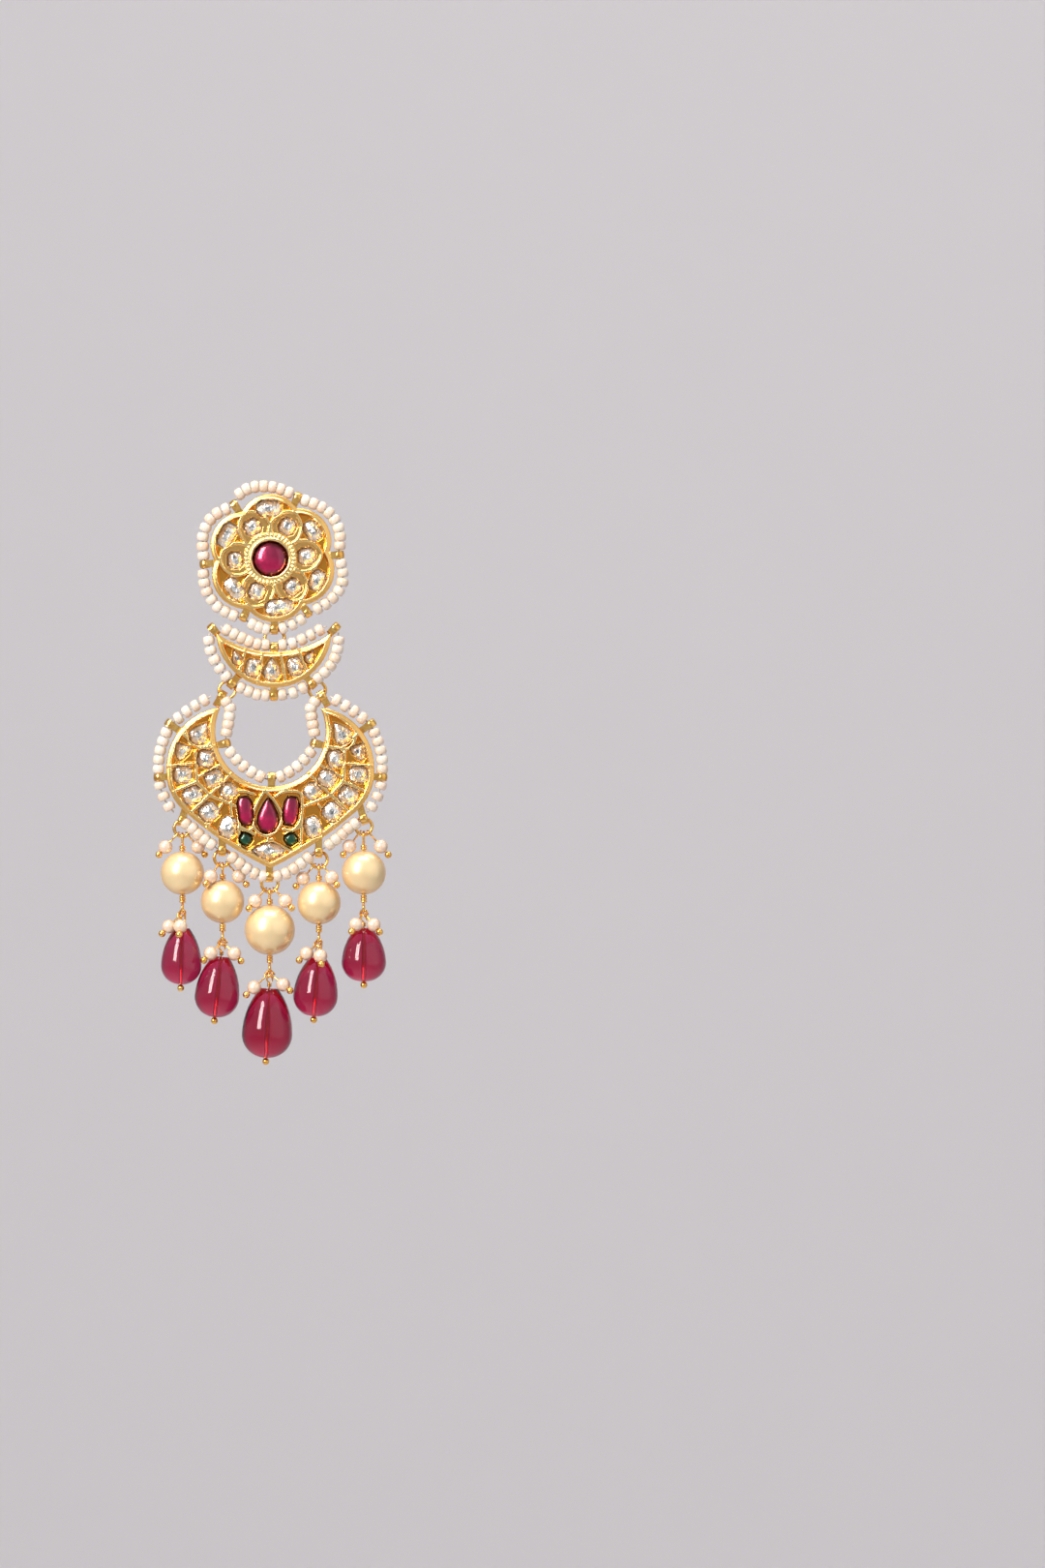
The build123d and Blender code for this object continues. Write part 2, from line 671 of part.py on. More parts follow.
# Strands: a ring, a pearl on a wrapped wire, a teardrop on a pin, and small
# pearls on head pins round the ring and round the eye over the drop
TOP_EYE_WIDTH = 0.62
FOOT_EYE_WIDTH = 1.05
FOOT_EYE_HEIGHT = 1.7
FOOT_EYE_SHOULDER = 0.65
FOOT_EYE_CORNER = 0.3
TOP_TURNS = 2
FOOT_TURNS = 3
DROP_TURNS = 2
DROP_SHIFT = 0.6
DROP_EYE_LENGTH = 1.3
DROP_EYE_WIDTH = 0.45
RING_PIN_EYE = 0.53
FOOT_PIN_EYE = 0.45
PIN_EYE_LENGTH = 0.74
WIRE_PLAY = 0.1
DROP_CROWN = 0.36
DROP_BELLY = 0.66

RING_PINS = [
    HeadPin(0, -132, 3, 0, 2.9, 4.65),
    HeadPin(0, -50, -14, 0, 2.8, 4.6),
    HeadPin(1, -122, 35, 0, 2.8, 4.6),
    HeadPin(1, -48, 0, 0, 2.8, 4.65),
    HeadPin(2, -130, 26, 0, 2.7, 4.5),
    HeadPin(2, -47, 24, 0, 2.8, 4.6),
    HeadPin(3, -131, 3, 0, 2.8, 4.6),
    HeadPin(3, -54, 30, 0, 2.7, 4.5),
    HeadPin(4, -126, 12, 0, 2.8, 4.6),
    HeadPin(4, -49, 0, 0, 3.1, 5.0),
]
DROP_PINS = [
    HeadPin(0, -134, 18, 0.0, 3.4, 5.2),
    HeadPin(0, -96, 40, -0.55, 3.0, 4.8),
    HeadPin(1, -134, 25, -0.55, 3.1, 4.9),
    HeadPin(1, -46, 18, 0.0, 3.1, 4.9),
    HeadPin(2, -137, 15, -0.55, 3.7, 5.6),
    HeadPin(2, -40, 22, 0.0, 3.3, 5.0),
    HeadPin(3, -138, 20, 0.0, 3.0, 4.8),
    HeadPin(3, -82, 40, -0.55, 3.0, 4.8),
    HeadPin(4, -122, 38, -0.55, 3.0, 4.8),
    HeadPin(4, -50, 28, 0.0, 3.1, 4.9),
]


FRONT_TO_BACK = Vector(0, 1, 0)
SIDE_TO_SIDE = Vector(1, 0, 0)
DOWN = Vector(0, 0, -1)


def pin_direction(pin):
    """Unit vector of a head pin, turned out of the front view."""
    turn = radians(pin.angle)
    out = radians(pin.forward)
    return Vector(cos(turn) * cos(out), -sin(out), sin(turn) * cos(out))


def hanging_plane(origin, down, across):
    """Plane with its -Y along a wire and its X as near across as it can be."""
    normal = across.cross(down).normalized()
    return Plane(origin=origin, x_dir=normal.cross(down), z_dir=normal)


def wrap_height(turns, wire):
    """Height of turns of wire laid side by side."""
    return 2 * wire + (turns - 1) * (2 * wire + WRAP_BITE)


def add_pin(hook, held_wire, half_width, across, pin):
    """Add a head pin: an eye round the wire that holds it, a stem and a ball."""
    down = pin_direction(pin)
    clear = held_wire + WIRE_PLAY + PIN_WIRE
    if across == SIDE_TO_SIDE:
        out = radians(pin.forward)
        clear += held_wire * (1 / cos(out) - 1) + PIN_WIRE * tan(out)
    top = hook + down * (half_width - clear)
    foot = top + down * (half_width + PIN_EYE_LENGTH)
    tip = hook + down * pin.tip
    eye_plane = hanging_plane(top, down, across)
    wire_eye(eye_plane, PIN_EYE_LENGTH, half_width, PIN_WIRE, (tip - foot).length)
    with Locations(Pos(*tip)):
        Sphere(PIN_BALL)


def add_small_pearl(hook, pin):
    """Add the small pearl of a head pin, drilled for the pin."""
    down = pin_direction(pin)
    with Locations(Plane(origin=hook + down * pin.reach, z_dir=down)):
        Sphere(SMALL_PEARL)
        Cylinder(SMALL_DRILL, 3 * SMALL_PEARL, mode=Mode.SUBTRACT)


def ring_hook(strand, angle):
    """Point of the strand's ring that a pin at an angle hangs on."""
    x, z = polar(STRAND_RADIUS, angle, (strand.x, strand.z))
    return Vector(*on_face(x, z, RING_DEPTH))


def foot_hook(strand, shift):
    """Point of the eye under the pearl, at a shift to its back, for a pin."""
    fall = strand.pearl_fall + strand.pearl_radius + WIRE_PLAY
    fall += wrap_height(FOOT_TURNS, CORE_WIRE) + FOOT_EYE_HEIGHT
    return Vector(strand.x, -RING_DEPTH + shift, strand.z - fall)


def foot_eye(top, stem_length):
    """Add a stem and, under it, an eye whose foot is a straight run of wire."""
    half = FOOT_EYE_WIDTH
    gap = EYE_END_GAP + 2.1 * CORE_WIRE
    outline = [
        (0, stem_length),
        (0, 0),
        (half, -FOOT_EYE_SHOULDER),
        (half, -FOOT_EYE_HEIGHT),
        (-half, -FOOT_EYE_HEIGHT),
        (-half, -FOOT_EYE_SHOULDER),
        (-gap, -gap * FOOT_EYE_SHOULDER / half),
    ]
    corners = [top + Vector(0, y, z) for y, z in outline]
    bent_wire(corners, FOOT_EYE_CORNER, CORE_WIRE)


def teardrop_profile(radius, height):
    """Half section of a drilled teardrop that hangs from its flat crown."""
    with BuildSketch() as half:
        with BuildLine():
            crown = Line((SMALL_DRILL, 0), (DROP_CROWN * radius, 0))
            shoulder = ThreePointArc(
                crown @ 1,
                (0.82 * radius, -0.3 * height),
                (radius, -DROP_BELLY * height),
            )
            belly = ThreePointArc(
                shoulder @ 1,
                (0.8 * radius, -0.87 * height),
                (SMALL_DRILL, -height),
            )
            Line(belly @ 1, crown @ 0)
        make_face()
    return half.sketch


for number, strand in enumerate(STRANDS):
    centre = Vector(*on_face(strand.x, strand.z, RING_DEPTH))
    pearl_top = centre + DOWN * (strand.pearl_fall - strand.pearl_radius - WIRE_PLAY)
    pearl_foot = centre + DOWN * (strand.pearl_fall + strand.pearl_radius + WIRE_PLAY)
    lean = radians(strand.lean)
    down = Vector(sin(lean), 0, -cos(lean))
    hook = foot_hook(strand, DROP_SHIFT)
    crown_fall = strand.pearl_fall + strand.pearl_radius + DROP_FALL - (centre.Z - hook.Z)
    crown = hook + down * crown_fall

    with BuildPart() as strand_ring:
        add_ring(strand.x, strand.z, STRAND_RADIUS, RING_WIRE)

    with BuildPart() as pearl:
        with Locations(Pos(*(centre + DOWN * strand.pearl_fall))):
            Sphere(strand.pearl_radius)
            Cylinder(DRILL_RADIUS, 3 * strand.pearl_radius, mode=Mode.SUBTRACT)

    with BuildPart() as pearl_wire:
        apex = STRAND_RADIUS - RING_WIRE - WIRE_PLAY - CORE_WIRE
        eye_top = centre + DOWN * (apex + TOP_EYE_WIDTH)
        wrap_top = pearl_top - DOWN * wrap_height(TOP_TURNS, CORE_WIRE)
        eye_length = eye_top.Z - TOP_EYE_WIDTH - wrap_top.Z
        eye_plane = hanging_plane(eye_top, DOWN, FRONT_TO_BACK)
        middle = centre + DOWN * strand.pearl_fall
        eye_apex = foot_hook(strand, 0) - DOWN * FOOT_EYE_HEIGHT
        wire_eye(eye_plane, eye_length, TOP_EYE_WIDTH, CORE_WIRE, wrap_top.Z - middle.Z)
        foot_eye(eye_apex, middle.Z - eye_apex.Z)
        wrap(wrap_top, DOWN, TOP_TURNS, CORE_WIRE)
        wrap(pearl_foot, DOWN, FOOT_TURNS, CORE_WIRE)

    with BuildPart() as drop:
        profile = teardrop_profile(strand.drop_radius, strand.drop_height)
        axis_plane = Plane(origin=crown, x_dir=down.cross(FRONT_TO_BACK), z_dir=(0, -1, 0))
        with BuildSketch(axis_plane) as section:
            add(profile)
        revolve(section.sketch, axis=Axis(crown, down))

    with BuildPart() as drop_pin:
        grip = CORE_WIRE + WIRE_PLAY + PIN_WIRE
        eye_top = hook + down * (DROP_EYE_WIDTH - grip)
        eye_plane = hanging_plane(eye_top, down, SIDE_TO_SIDE)
        neck = eye_top + down * (DROP_EYE_LENGTH + DROP_EYE_WIDTH)
        tip = crown + down * (strand.drop_height + PIN_BALL)
        wire_eye(eye_plane, DROP_EYE_LENGTH, DROP_EYE_WIDTH, PIN_WIRE, (tip - neck).length)
        wrap(neck, down, DROP_TURNS, PIN_WIRE)
        with Locations(Pos(*tip)):
            Sphere(PIN_BALL)

    with BuildPart() as small_pearls:
        for pin in RING_PINS:
            if pin.strand == number:
                add_small_pearl(ring_hook(strand, pin.angle), pin)
        for pin in DROP_PINS:
            if pin.strand == number:
                add_small_pearl(foot_hook(strand, pin.shift), pin)

    with BuildPart() as small_pins:
        for pin in RING_PINS:
            if pin.strand == number:
                hold = ring_hook(strand, pin.angle)
                add_pin(hold, RING_WIRE, RING_PIN_EYE, FRONT_TO_BACK, pin)
        for pin in DROP_PINS:
            if pin.strand == number:
                hold = foot_hook(strand, pin.shift)
                add_pin(hold, CORE_WIRE, FOOT_PIN_EYE, SIDE_TO_SIDE, pin)

    for name, piece in (
        ("strand_ring", strand_ring),
        ("pearl", pearl),
        ("pearl_wire", pearl_wire),
        ("drop", drop),
        ("drop_pin", drop_pin),
        ("small_pearls", small_pearls),
        ("small_pins", small_pins),
    ):
        piece.part.label = name + "_" + str(number + 1)
        export_step(piece.part, "parts/" + piece.part.label + ".step")
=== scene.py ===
"""Looks of a stone-set chandbali earring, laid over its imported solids."""

import cmath
import logging
import math
from dataclasses import dataclass
from enum import Enum
from typing import Callable, Iterable, Mapping, Sequence

import bpy
import numpy as np
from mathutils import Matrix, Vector


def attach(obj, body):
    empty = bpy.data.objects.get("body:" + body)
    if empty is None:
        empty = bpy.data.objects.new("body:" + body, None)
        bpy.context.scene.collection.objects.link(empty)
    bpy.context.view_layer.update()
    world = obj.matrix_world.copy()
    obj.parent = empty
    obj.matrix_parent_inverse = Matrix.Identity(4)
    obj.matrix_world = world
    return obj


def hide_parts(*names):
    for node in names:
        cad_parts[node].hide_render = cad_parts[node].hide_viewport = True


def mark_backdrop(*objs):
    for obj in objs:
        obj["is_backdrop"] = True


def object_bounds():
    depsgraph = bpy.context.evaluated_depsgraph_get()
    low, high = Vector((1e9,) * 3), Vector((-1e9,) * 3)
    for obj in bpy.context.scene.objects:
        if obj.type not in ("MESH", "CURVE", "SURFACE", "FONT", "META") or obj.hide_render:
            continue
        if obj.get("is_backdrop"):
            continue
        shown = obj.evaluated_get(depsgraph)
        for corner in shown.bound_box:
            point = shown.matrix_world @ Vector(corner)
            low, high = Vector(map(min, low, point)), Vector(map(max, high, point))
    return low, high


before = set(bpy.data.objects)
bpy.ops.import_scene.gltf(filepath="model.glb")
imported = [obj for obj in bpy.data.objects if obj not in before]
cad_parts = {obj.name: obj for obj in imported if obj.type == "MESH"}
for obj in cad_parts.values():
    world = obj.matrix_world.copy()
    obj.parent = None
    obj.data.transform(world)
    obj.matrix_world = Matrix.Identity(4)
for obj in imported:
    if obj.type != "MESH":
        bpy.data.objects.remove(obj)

logging.basicConfig(level=logging.INFO, format="%(name)s: %(message)s")
LOG = logging.getLogger("earring")

MM = 0.001
SEED = 11

Point = tuple[float, float]
Colour = tuple[float, float, float]


class Slot(str, Enum):
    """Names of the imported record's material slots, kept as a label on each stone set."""

    GOLD = "gold"
    POLKI = "polki"
    RUBY = "ruby"
    EMERALD = "emerald"
    SEED_BEADS = "seed_beads"


# ---------------------------------------------------------------- layout
#
# All places are in millimetres of the front view, across and up. A peg or an eye
# also has the angle, in degrees, at which it points away from its plate.

FLOWER_PEGS = [
    (-6.1, 9.2, 124), (4.6, 10.5, 66), (11.7, 0.7, 5), (6.3, -9.1, -55), (-4.5, -9.8, -115),
    (-11.2, -0.9, 186),
]
CRESCENT_PEGS = [(-9.9, -12.0, 132), (11.1, -11.9, 46), (0.6, -23.4, -90)]
FLOWER_EYES = [(0.67, -11.97, -90)]
CRESCENT_EYES = [(0.67, -15.35, 90), (-6.587, -21.412, -130), (7.087, -21.412, -50)]
PENDANT_EYES = [
    (-8.413, -23.588, 60), (8.913, -23.588, 120), (-15.2, -44.88, -106), (-8.3, -49.98, -90),
    (-0.17, -54.43, -90), (8.3, -50.28, -90), (16.0, -44.58, -74),
]
PENDANT_PEGS = [
    (17.2, -28.4, 35), (19.1, -37.5, -3), (7.8, -31.7, 166), (0.2, -37.6, 90),
    (-17.2, -28.4, 145), (-19.1, -37.5, 183), (-7.8, -31.7, 14),
]
CRESCENT_WALLS = [
    [(-4.2, -15.6), (-5.3, -19.4)],
    [(-1.2, -15.8), (-2.2, -21.4)],
    [(1.7, -15.8), (2.7, -21.4)],
    [(4.8, -15.4), (6.3, -19.2)],
]
PENDANT_WALLS = [
    [(8.4, -35.3), (12.6, -37.6)],
    [(6.6, -36.8), (10.8, -41.0)],
    [(13.4, -35.2), (17.6, -35.6)],
    [(12.4, -38.2), (16.6, -40.0)],
    [(10.4, -40.4), (13.6, -43.6)],
    [(8.3, -42.2), (11.2, -46.5)],
    [(12.8, -33.2), (12.6, -38.2), (10.4, -40.6), (5.6, -42.6)],
    [(9.2, -32.1), (12.2, -32.6), (14.9, -30.2)],
    [(5.6, -42.6), (5.2, -46.0), (2.6, -47.3)],
    [(5.4, -46.0), (5.2, -49.8)],
    [(3.9, -50.4), (-0.4, -48.1)],
]
LOTUS_WALLS = [
    [(-2.7, -40.4), (-4.6, -39.9), (-6.2, -40.2), (-6.75, -42.0), (-6.55, -44.4),
     (-5.6, -46.0), (-3.9, -46.7), (-3.0, -46.2)],
    [(-0.9, -39.8), (-2.2, -41.9), (-3.0, -44.3), (-2.6, -46.4), (-0.7, -47.6),
     (1.3, -46.4), (2.0, -44.3), (0.9, -41.8), (-0.9, -39.8)],
    [(0.9, -40.8), (2.4, -40.0), (5.0, -40.1), (5.5, -42.0), (5.2, -44.9), (3.9, -46.6),
     (2.2, -46.4)],
]
HORN_WALLS = [
    [(-14.7, -29.0), (-14.1, -31.1), (-12.6, -32.2), (-10.9, -32.1), (-9.9, -31.1)],
    [(9.4, -31.1), (10.3, -32.3), (12.0, -32.9), (13.7, -32.4), (14.6, -31.0), (14.7, -29.3)],
]
FLOWER_ROUTES = [
    [(-5.45, 10.56), (-5.0, 11.5), (-2.6, 12.4), (0.7, 12.3), (3.77, 11.18)],
    [(5.39, 10.22), (6.3, 9.9), (9.3, 8.6), (11.4, 6.1), (12.0, 3.4), (11.81, 1.68)],
    [(11.94, -0.21), (12.4, -2.0), (12.2, -4.6), (10.3, -7.1), (7.57, -8.85)],
    [(5.62, -9.89), (5.0, -10.6), (2.9, -11.7), (1.55, -11.86)],
    [(-0.1, -11.98), (-1.3, -12.0), (-3.64, -10.89)],
    [(-5.74, -9.73), (-6.3, -9.7), (-9.1, -8.2), (-11.0, -5.5), (-11.5, -2.8), (-11.37, -1.95)],
    [(-11.36, -0.07), (-11.6, 1.2), (-11.5, 4.4), (-10.0, 7.2), (-7.12, 8.86)],
]
CRESCENT_ROUTES = [
    [(-8.06, -11.9), (-5.3, -13.4), (-2.3, -14.6), (-0.15, -14.74)],
    [(1.5, -14.74), (3.5, -14.6), (6.3, -13.4), (9.01, -11.9)],
    [(11.48, -13.41), (11.7, -14.3), (11.1, -16.9), (9.8, -19.0), (7.67, -20.89)],
    [(6.16, -21.87), (4.9, -22.5), (3.3, -23.2), (1.43, -23.34)],
    [(-0.19, -23.37), (-2.2, -23.3), (-4.9, -22.2), (-5.62, -21.86)],
    [(-7.2, -20.66), (-8.8, -18.7), (-10.1, -16.3), (-10.6, -14.3), (-10.34, -13.46)],
]
OUTER_ROUTES = [
    [(10.82, -23.96), (13.8, -25.8), (16.31, -27.71)],
    [(17.6, -29.28), (18.2, -30.6), (19.0, -33.1), (19.25, -35.5), (19.16, -36.73)],
    [(19.01, -38.31), (18.9, -39.3), (18.0, -41.7), (17.05, -43.02)],
    [(15.08, -45.15), (13.7, -46.0), (12.1, -47.5), (9.63, -49.43)],
    [(7.02, -51.01), (6.5, -51.3), (4.2, -53.1), (1.9, -54.4), (0.6, -54.42)],
]
INNER_ROUTES = [
    [(8.18, -24.2), (7.0, -25.2), (7.1, -27.4), (7.5, -29.6), (7.62, -30.46)],
    [(7.18, -32.67), (6.4, -33.9), (4.2, -36.0), (2.0, -37.3), (1.13, -37.45)],
]


def both_sides(routes: Sequence[Sequence[Point]]) -> list[list[Point]]:
    """Routes of the right side, followed by their mirror images."""
    return [list(route) for route in routes] + [[(-x, z) for x, z in route] for route in routes]


# ---------------------------------------------------------------- node trees


class Signal:
    """Value in a node tree that can be reckoned with like a number."""

    def __init__(self, graph: "Graph", socket: bpy.types.NodeSocket) -> None:
        """Wrap an output socket of a graph."""
        self.graph = graph
        self.socket = socket

    def _maths(
        self, operation: str, first: "Signal | float", second: "Signal | float"
    ) -> "Signal":
        """Reckon with two values in a Math node."""
        return self.graph.value(
            "ShaderNodeMath", 0, {0: first, 1: second}, operation=operation
        )

    def __add__(self, other: "Signal | float") -> "Signal":
        """This value plus another."""
        return self._maths("ADD", self, other)

    def __sub__(self, other: "Signal | float") -> "Signal":
        """This value less another."""
        return self._maths("SUBTRACT", self, other)

    def __rsub__(self, other: "Signal | float") -> "Signal":
        """Another value less this one."""
        return self._maths("SUBTRACT", other, self)

    def __mul__(self, other: "Signal | float") -> "Signal":
        """This value times another."""
        return self._maths("MULTIPLY", self, other)

    def __truediv__(self, other: "Signal | float") -> "Signal":
        """This value over another."""
        return self._maths("DIVIDE", self, other)

    def __rtruediv__(self, other: "Signal | float") -> "Signal":
        """Another value over this one."""
        return self._maths("DIVIDE", other, self)

    __radd__ = __add__
    __rmul__ = __mul__

    def step(
        self, low: float, high: float, to_low: float = 0.0, to_high: float = 1.0
    ) -> "Signal":
        """Pass smoothly from to_low to to_high as the value rises from low to high."""
        inputs = {
            "Value": self, "From Min": low, "From Max": high, "To Min": to_low, "To Max": to_high,
        }
        return self.graph.value(
            "ShaderNodeMapRange", "Result", inputs, interpolation_type="SMOOTHSTEP"
        )


class Graph:
    """Node tree that is filled by values and links."""

    def __init__(self, tree: bpy.types.NodeTree) -> None:
        """Take a tree and empty it."""
        self.tree = tree
        tree.nodes.clear()

    def add(
        self, kind: str, inputs: Mapping[str | int, object] | None = None, **settings: object
    ) -> bpy.types.Node:
        """Add a node.

        Args:
            kind: the node's type name.
            inputs: values or links of its sockets, by name or number.
            settings: its properties, which are set first.

        Returns:
            The node.
        """
        node = self.tree.nodes.new(kind)
        for name, setting in settings.items():
            setattr(node, name, setting)
        for place, source in (inputs or {}).items():
            socket = node.inputs[place]
            if isinstance(source, Signal):
                self.tree.links.new(source.socket, socket)
            elif socket.type == "RGBA":
                socket.default_value = (*source, 1.0)
            else:
                socket.default_value = source
        return node

    def value(
        self,
        kind: str,
        output: str | int,
        inputs: Mapping[str | int, object] | None = None,
        **settings: object,
    ) -> Signal:
        """Add a node as the method add does, and take one of its outputs."""
        return Signal(self, self.add(kind, inputs, **settings).outputs[output])

    def blend(
        self, factor: "Signal | float", first: "Signal | Colour", second: "Signal | Colour"
    ) -> Signal:
        """Mix two colours, with the share of the second as factor."""
        return self.value(
            "ShaderNodeMix", 2, {0: factor, 6: first, 7: second}, data_type="RGBA"
        )


class Shader(Graph):
    """Node tree of one material, with short ways to add what the finishes need."""

    def __init__(self, name: str) -> None:
        """Make an empty material of a name."""
        self.material = bpy.data.materials.new(name)
        self.material.use_nodes = True
        super().__init__(self.material.node_tree)

    def point(self, stretch: Sequence[float] = (1, 1, 1)) -> Signal:
        """Object coordinates in millimetres, stretched along each axis."""
        inputs = {0: self.value("ShaderNodeTexCoord", "Object"), 1: [s / MM for s in stretch]}
        return self.value("ShaderNodeVectorMath", 0, inputs, operation="MULTIPLY")

    def noise(
        self, point: Signal, scale: float, detail: float = 2.0, rough: float = 0.5
    ) -> Signal:
        """Fractal noise around 0.5 at a point, with its frequency per millimetre as scale."""
        inputs = {"Vector": point, "Scale": scale, "Detail": detail, "Roughness": rough}
        return self.value("ShaderNodeTexNoise", "Fac", inputs)

    def cells(self, point: Signal, scale: float) -> Signal:
        """Distance to the nearest point of a cell texture with scale cells a millimetre."""
        return self.value("ShaderNodeTexVoronoi", "Distance", {"Vector": point, "Scale": scale})

    def attribute(self, name: str) -> Signal:
        """Named attribute of the mesh."""
        return self.value("ShaderNodeAttribute", "Fac", attribute_name=name)

    def bump(self, height: Signal, distance: float) -> Signal:
        """Normal from a height between 0 and 1 and its depth in millimetres."""
        inputs = {"Strength": 1.0, "Distance": distance * MM, "Height": height}
        return self.value("ShaderNodeBump", "Normal", inputs)

    def surface(self, volume: Signal | None = None, **inputs: object) -> bpy.types.Material:
        """Finish the tree with a principled shader.

        Args:
            volume: shader of the inside, if it has one.
            inputs: the shader's inputs, with underscores for spaces.

        Returns:
            The material.
        """
        named = {name.replace("_", " "): source for name, source in inputs.items()}
        ends = {"Surface": self.value("ShaderNodeBsdfPrincipled", "BSDF", named)}
        if volume:
            ends["Volume"] = volume
        self.add("ShaderNodeOutputMaterial", ends)
        return self.material


# ---------------------------------------------------------------- finishes


@dataclass(frozen=True)
class Gold:
    """Yellow gold plate with fine tool marks and a warmer tone in patches."""

    name: str
    bright: Colour = (1.0, 0.63, 0.19)
    deep: Colour = (0.9, 0.47, 0.1)
    rough: float = 0.22
    wear: float = 1.5
    grain: float = 0.012
    wave: float = 0.008

    def make(self) -> bpy.types.Material:
        """Build the material.

        Returns:
            The material.
        """
        graph = Shader(self.name)
        patches = graph.noise(graph.point(), 0.9, 3.0).step(0.35, 0.65)
        return self.polish(graph, graph.blend(patches, self.deep, self.bright))

    def polish(
        self, graph: Shader, colour: Signal, dulling: "Signal | float" = 0.0
    ) -> bpy.types.Material:
        """Finish the tree as metal with tool marks.

        Args:
            graph: the tree.
            colour: the metal's colour.
            dulling: roughness added to it.

        Returns:
            The material.
        """
        point = graph.point()
        fine = graph.noise(point, 9.0, 3.0, 0.6)
        hammered = graph.noise(point, 2.4, 1.0)
        rough = fine.step(0.3, 0.75, self.rough * 0.75, self.rough * self.wear)
        relief = hammered * (self.wave / self.grain) + fine
        return graph.surface(
            Base_Color=colour,
            Metallic=1.0,
            Roughness=rough + dulling,
            Normal=graph.bump(relief, self.grain),
        )


@dataclass(frozen=True)
class CastGold(Gold):
    """Gold front with painted light on its crests, painted shade in its hollows and painted shade
    on the outer band of its rim.
    """

    wear: float = 1.4
    crest_light: Colour = (1.0, 0.74, 0.3)
    hollow_shade: Colour = (0.82, 0.36, 0.05)
    rim_band_shade: Colour = (0.98, 0.55, 0.15)

    def make(self) -> bpy.types.Material:
        """Build the material.

        Returns:
            The material.
        """
        graph = Shader(self.name)
        # painted light and shade: crests lighter and hollows darker by the gold's height, with an
        # uneven border between them
        uneven = (graph.noise(graph.point(), 2.4, 1.0) - 0.5) * 0.3
        level = (graph.attribute("height") + uneven).step(0.1, 0.95)
        # painted shade: a deeper orange band along the rim's outer slope, which is also made a
        # little rougher
        rim = graph.attribute("edge").step(0.5, 0.68, 1.0, 0.0)
        colour = graph.blend(level, self.hollow_shade, self.crest_light)
        return self.polish(graph, graph.blend(rim * 0.8, colour, self.rim_band_shade), rim * 0.12)


@dataclass(frozen=True)
class FoiledStone:
    """Clear flat-cut stone over silver foil, grey in its middle, with painted shade round its edge.
    """

    name: str
    light: Colour = (0.96, 0.96, 0.93)
    dark: Colour = (0.1, 0.11, 0.12)
    warm: Colour = (0.42, 0.27, 0.1)

    def make(self) -> bpy.types.Material:
        """Build the material.

        Returns:
            The material.
        """
        graph = Shader(self.name)
        point = graph.point()
        radial = graph.attribute("radial")
        mottle = graph.noise(point, 1.1, 4.0, 0.65)
        streaks = graph.noise(graph.point((1.6, 1, 0.7)), 1.9, 2.0)
        reach = radial + (mottle - 0.5) * 1.3
        heart = reach.step(0.15, 0.6, 1.0, 0.0)
        # painted shade: a warm brown band round the stone's edge, where the gold setting shades it
        edge = (radial + (streaks - 0.5) * 0.6).step(0.82, 1.02)
        clear = graph.blend(heart * streaks.step(0.35, 0.6, 0.5, 1.0), self.light, self.dark)
        colour = graph.blend(edge * 0.7, clear, self.warm)
        facets = graph.cells(point, 0.9) + streaks * 0.6
        return graph.surface(
            Base_Color=colour,
            Metallic=0.7,
            Roughness=0.2,
            Specular_IOR_Level=0.7,
            Coat_Weight=1.0,
            Coat_Roughness=0.03,
            Coat_IOR=1.7,
            Normal=graph.bump(facets, 0.2),
        )


@dataclass(frozen=True)
class ColouredStone:
    """Coloured stone over bright foil, with a painted glow in its lower part and painted shade
    towards its girdle.
    """

    name: str
    glow: Colour
    middle: Colour
    deep: Colour
    metallic: float = 0.6

    def make(self) -> bpy.types.Material:
        """Build the material.

        Returns:
            The material.
        """
        graph = Shader(self.name)
        point = graph.point()
        radial = graph.attribute("radial")
        cloud = graph.noise(point, 0.8, 3.0, 0.6)
        # painted light: the lower part glows brighter, as if lit through from above, and the upper
        # part stays darker
        lift = graph.attribute("lift") + (cloud - 0.5) * 1.2
        # painted shade: the colour deepens towards the girdle
        rim = (radial + (cloud - 0.5) * 0.7).step(0.6, 1.0)
        body = graph.blend(lift.step(-0.9, 0.5), self.glow, self.middle)
        colour = graph.blend(rim, body, self.deep)
        return graph.surface(
            Base_Color=colour,
            Metallic=self.metallic,
            Roughness=0.3,
            Coat_Weight=1.0,
            Coat_Roughness=0.02,
            Coat_IOR=1.5,
            Normal=graph.bump(cloud, 0.1),
        )


@dataclass(frozen=True)
class Glass:
    """Clear coloured glass whose colour deepens with thickness."""

    name: str
    tint: Colour = (0.95, 0.3, 0.6)
    depth_tint: Colour = (0.82, 0.004, 0.3)
    density: float = 0.4

    def make(self) -> bpy.types.Material:
        """Build the material.

        Returns:
            The material.
        """
        graph = Shader(self.name)
        swirl = graph.noise(graph.point((1, 1, 0.25)), 0.35, 1.0)
        inside = {"Color": self.depth_tint, "Density": self.density / MM}
        return graph.surface(
            volume=graph.value("ShaderNodeVolumeAbsorption", 0, inside),
            Base_Color=self.tint,
            Roughness=0.015,
            IOR=1.5,
            Transmission_Weight=1.0,
            Normal=graph.bump(swirl, 0.12),
        )


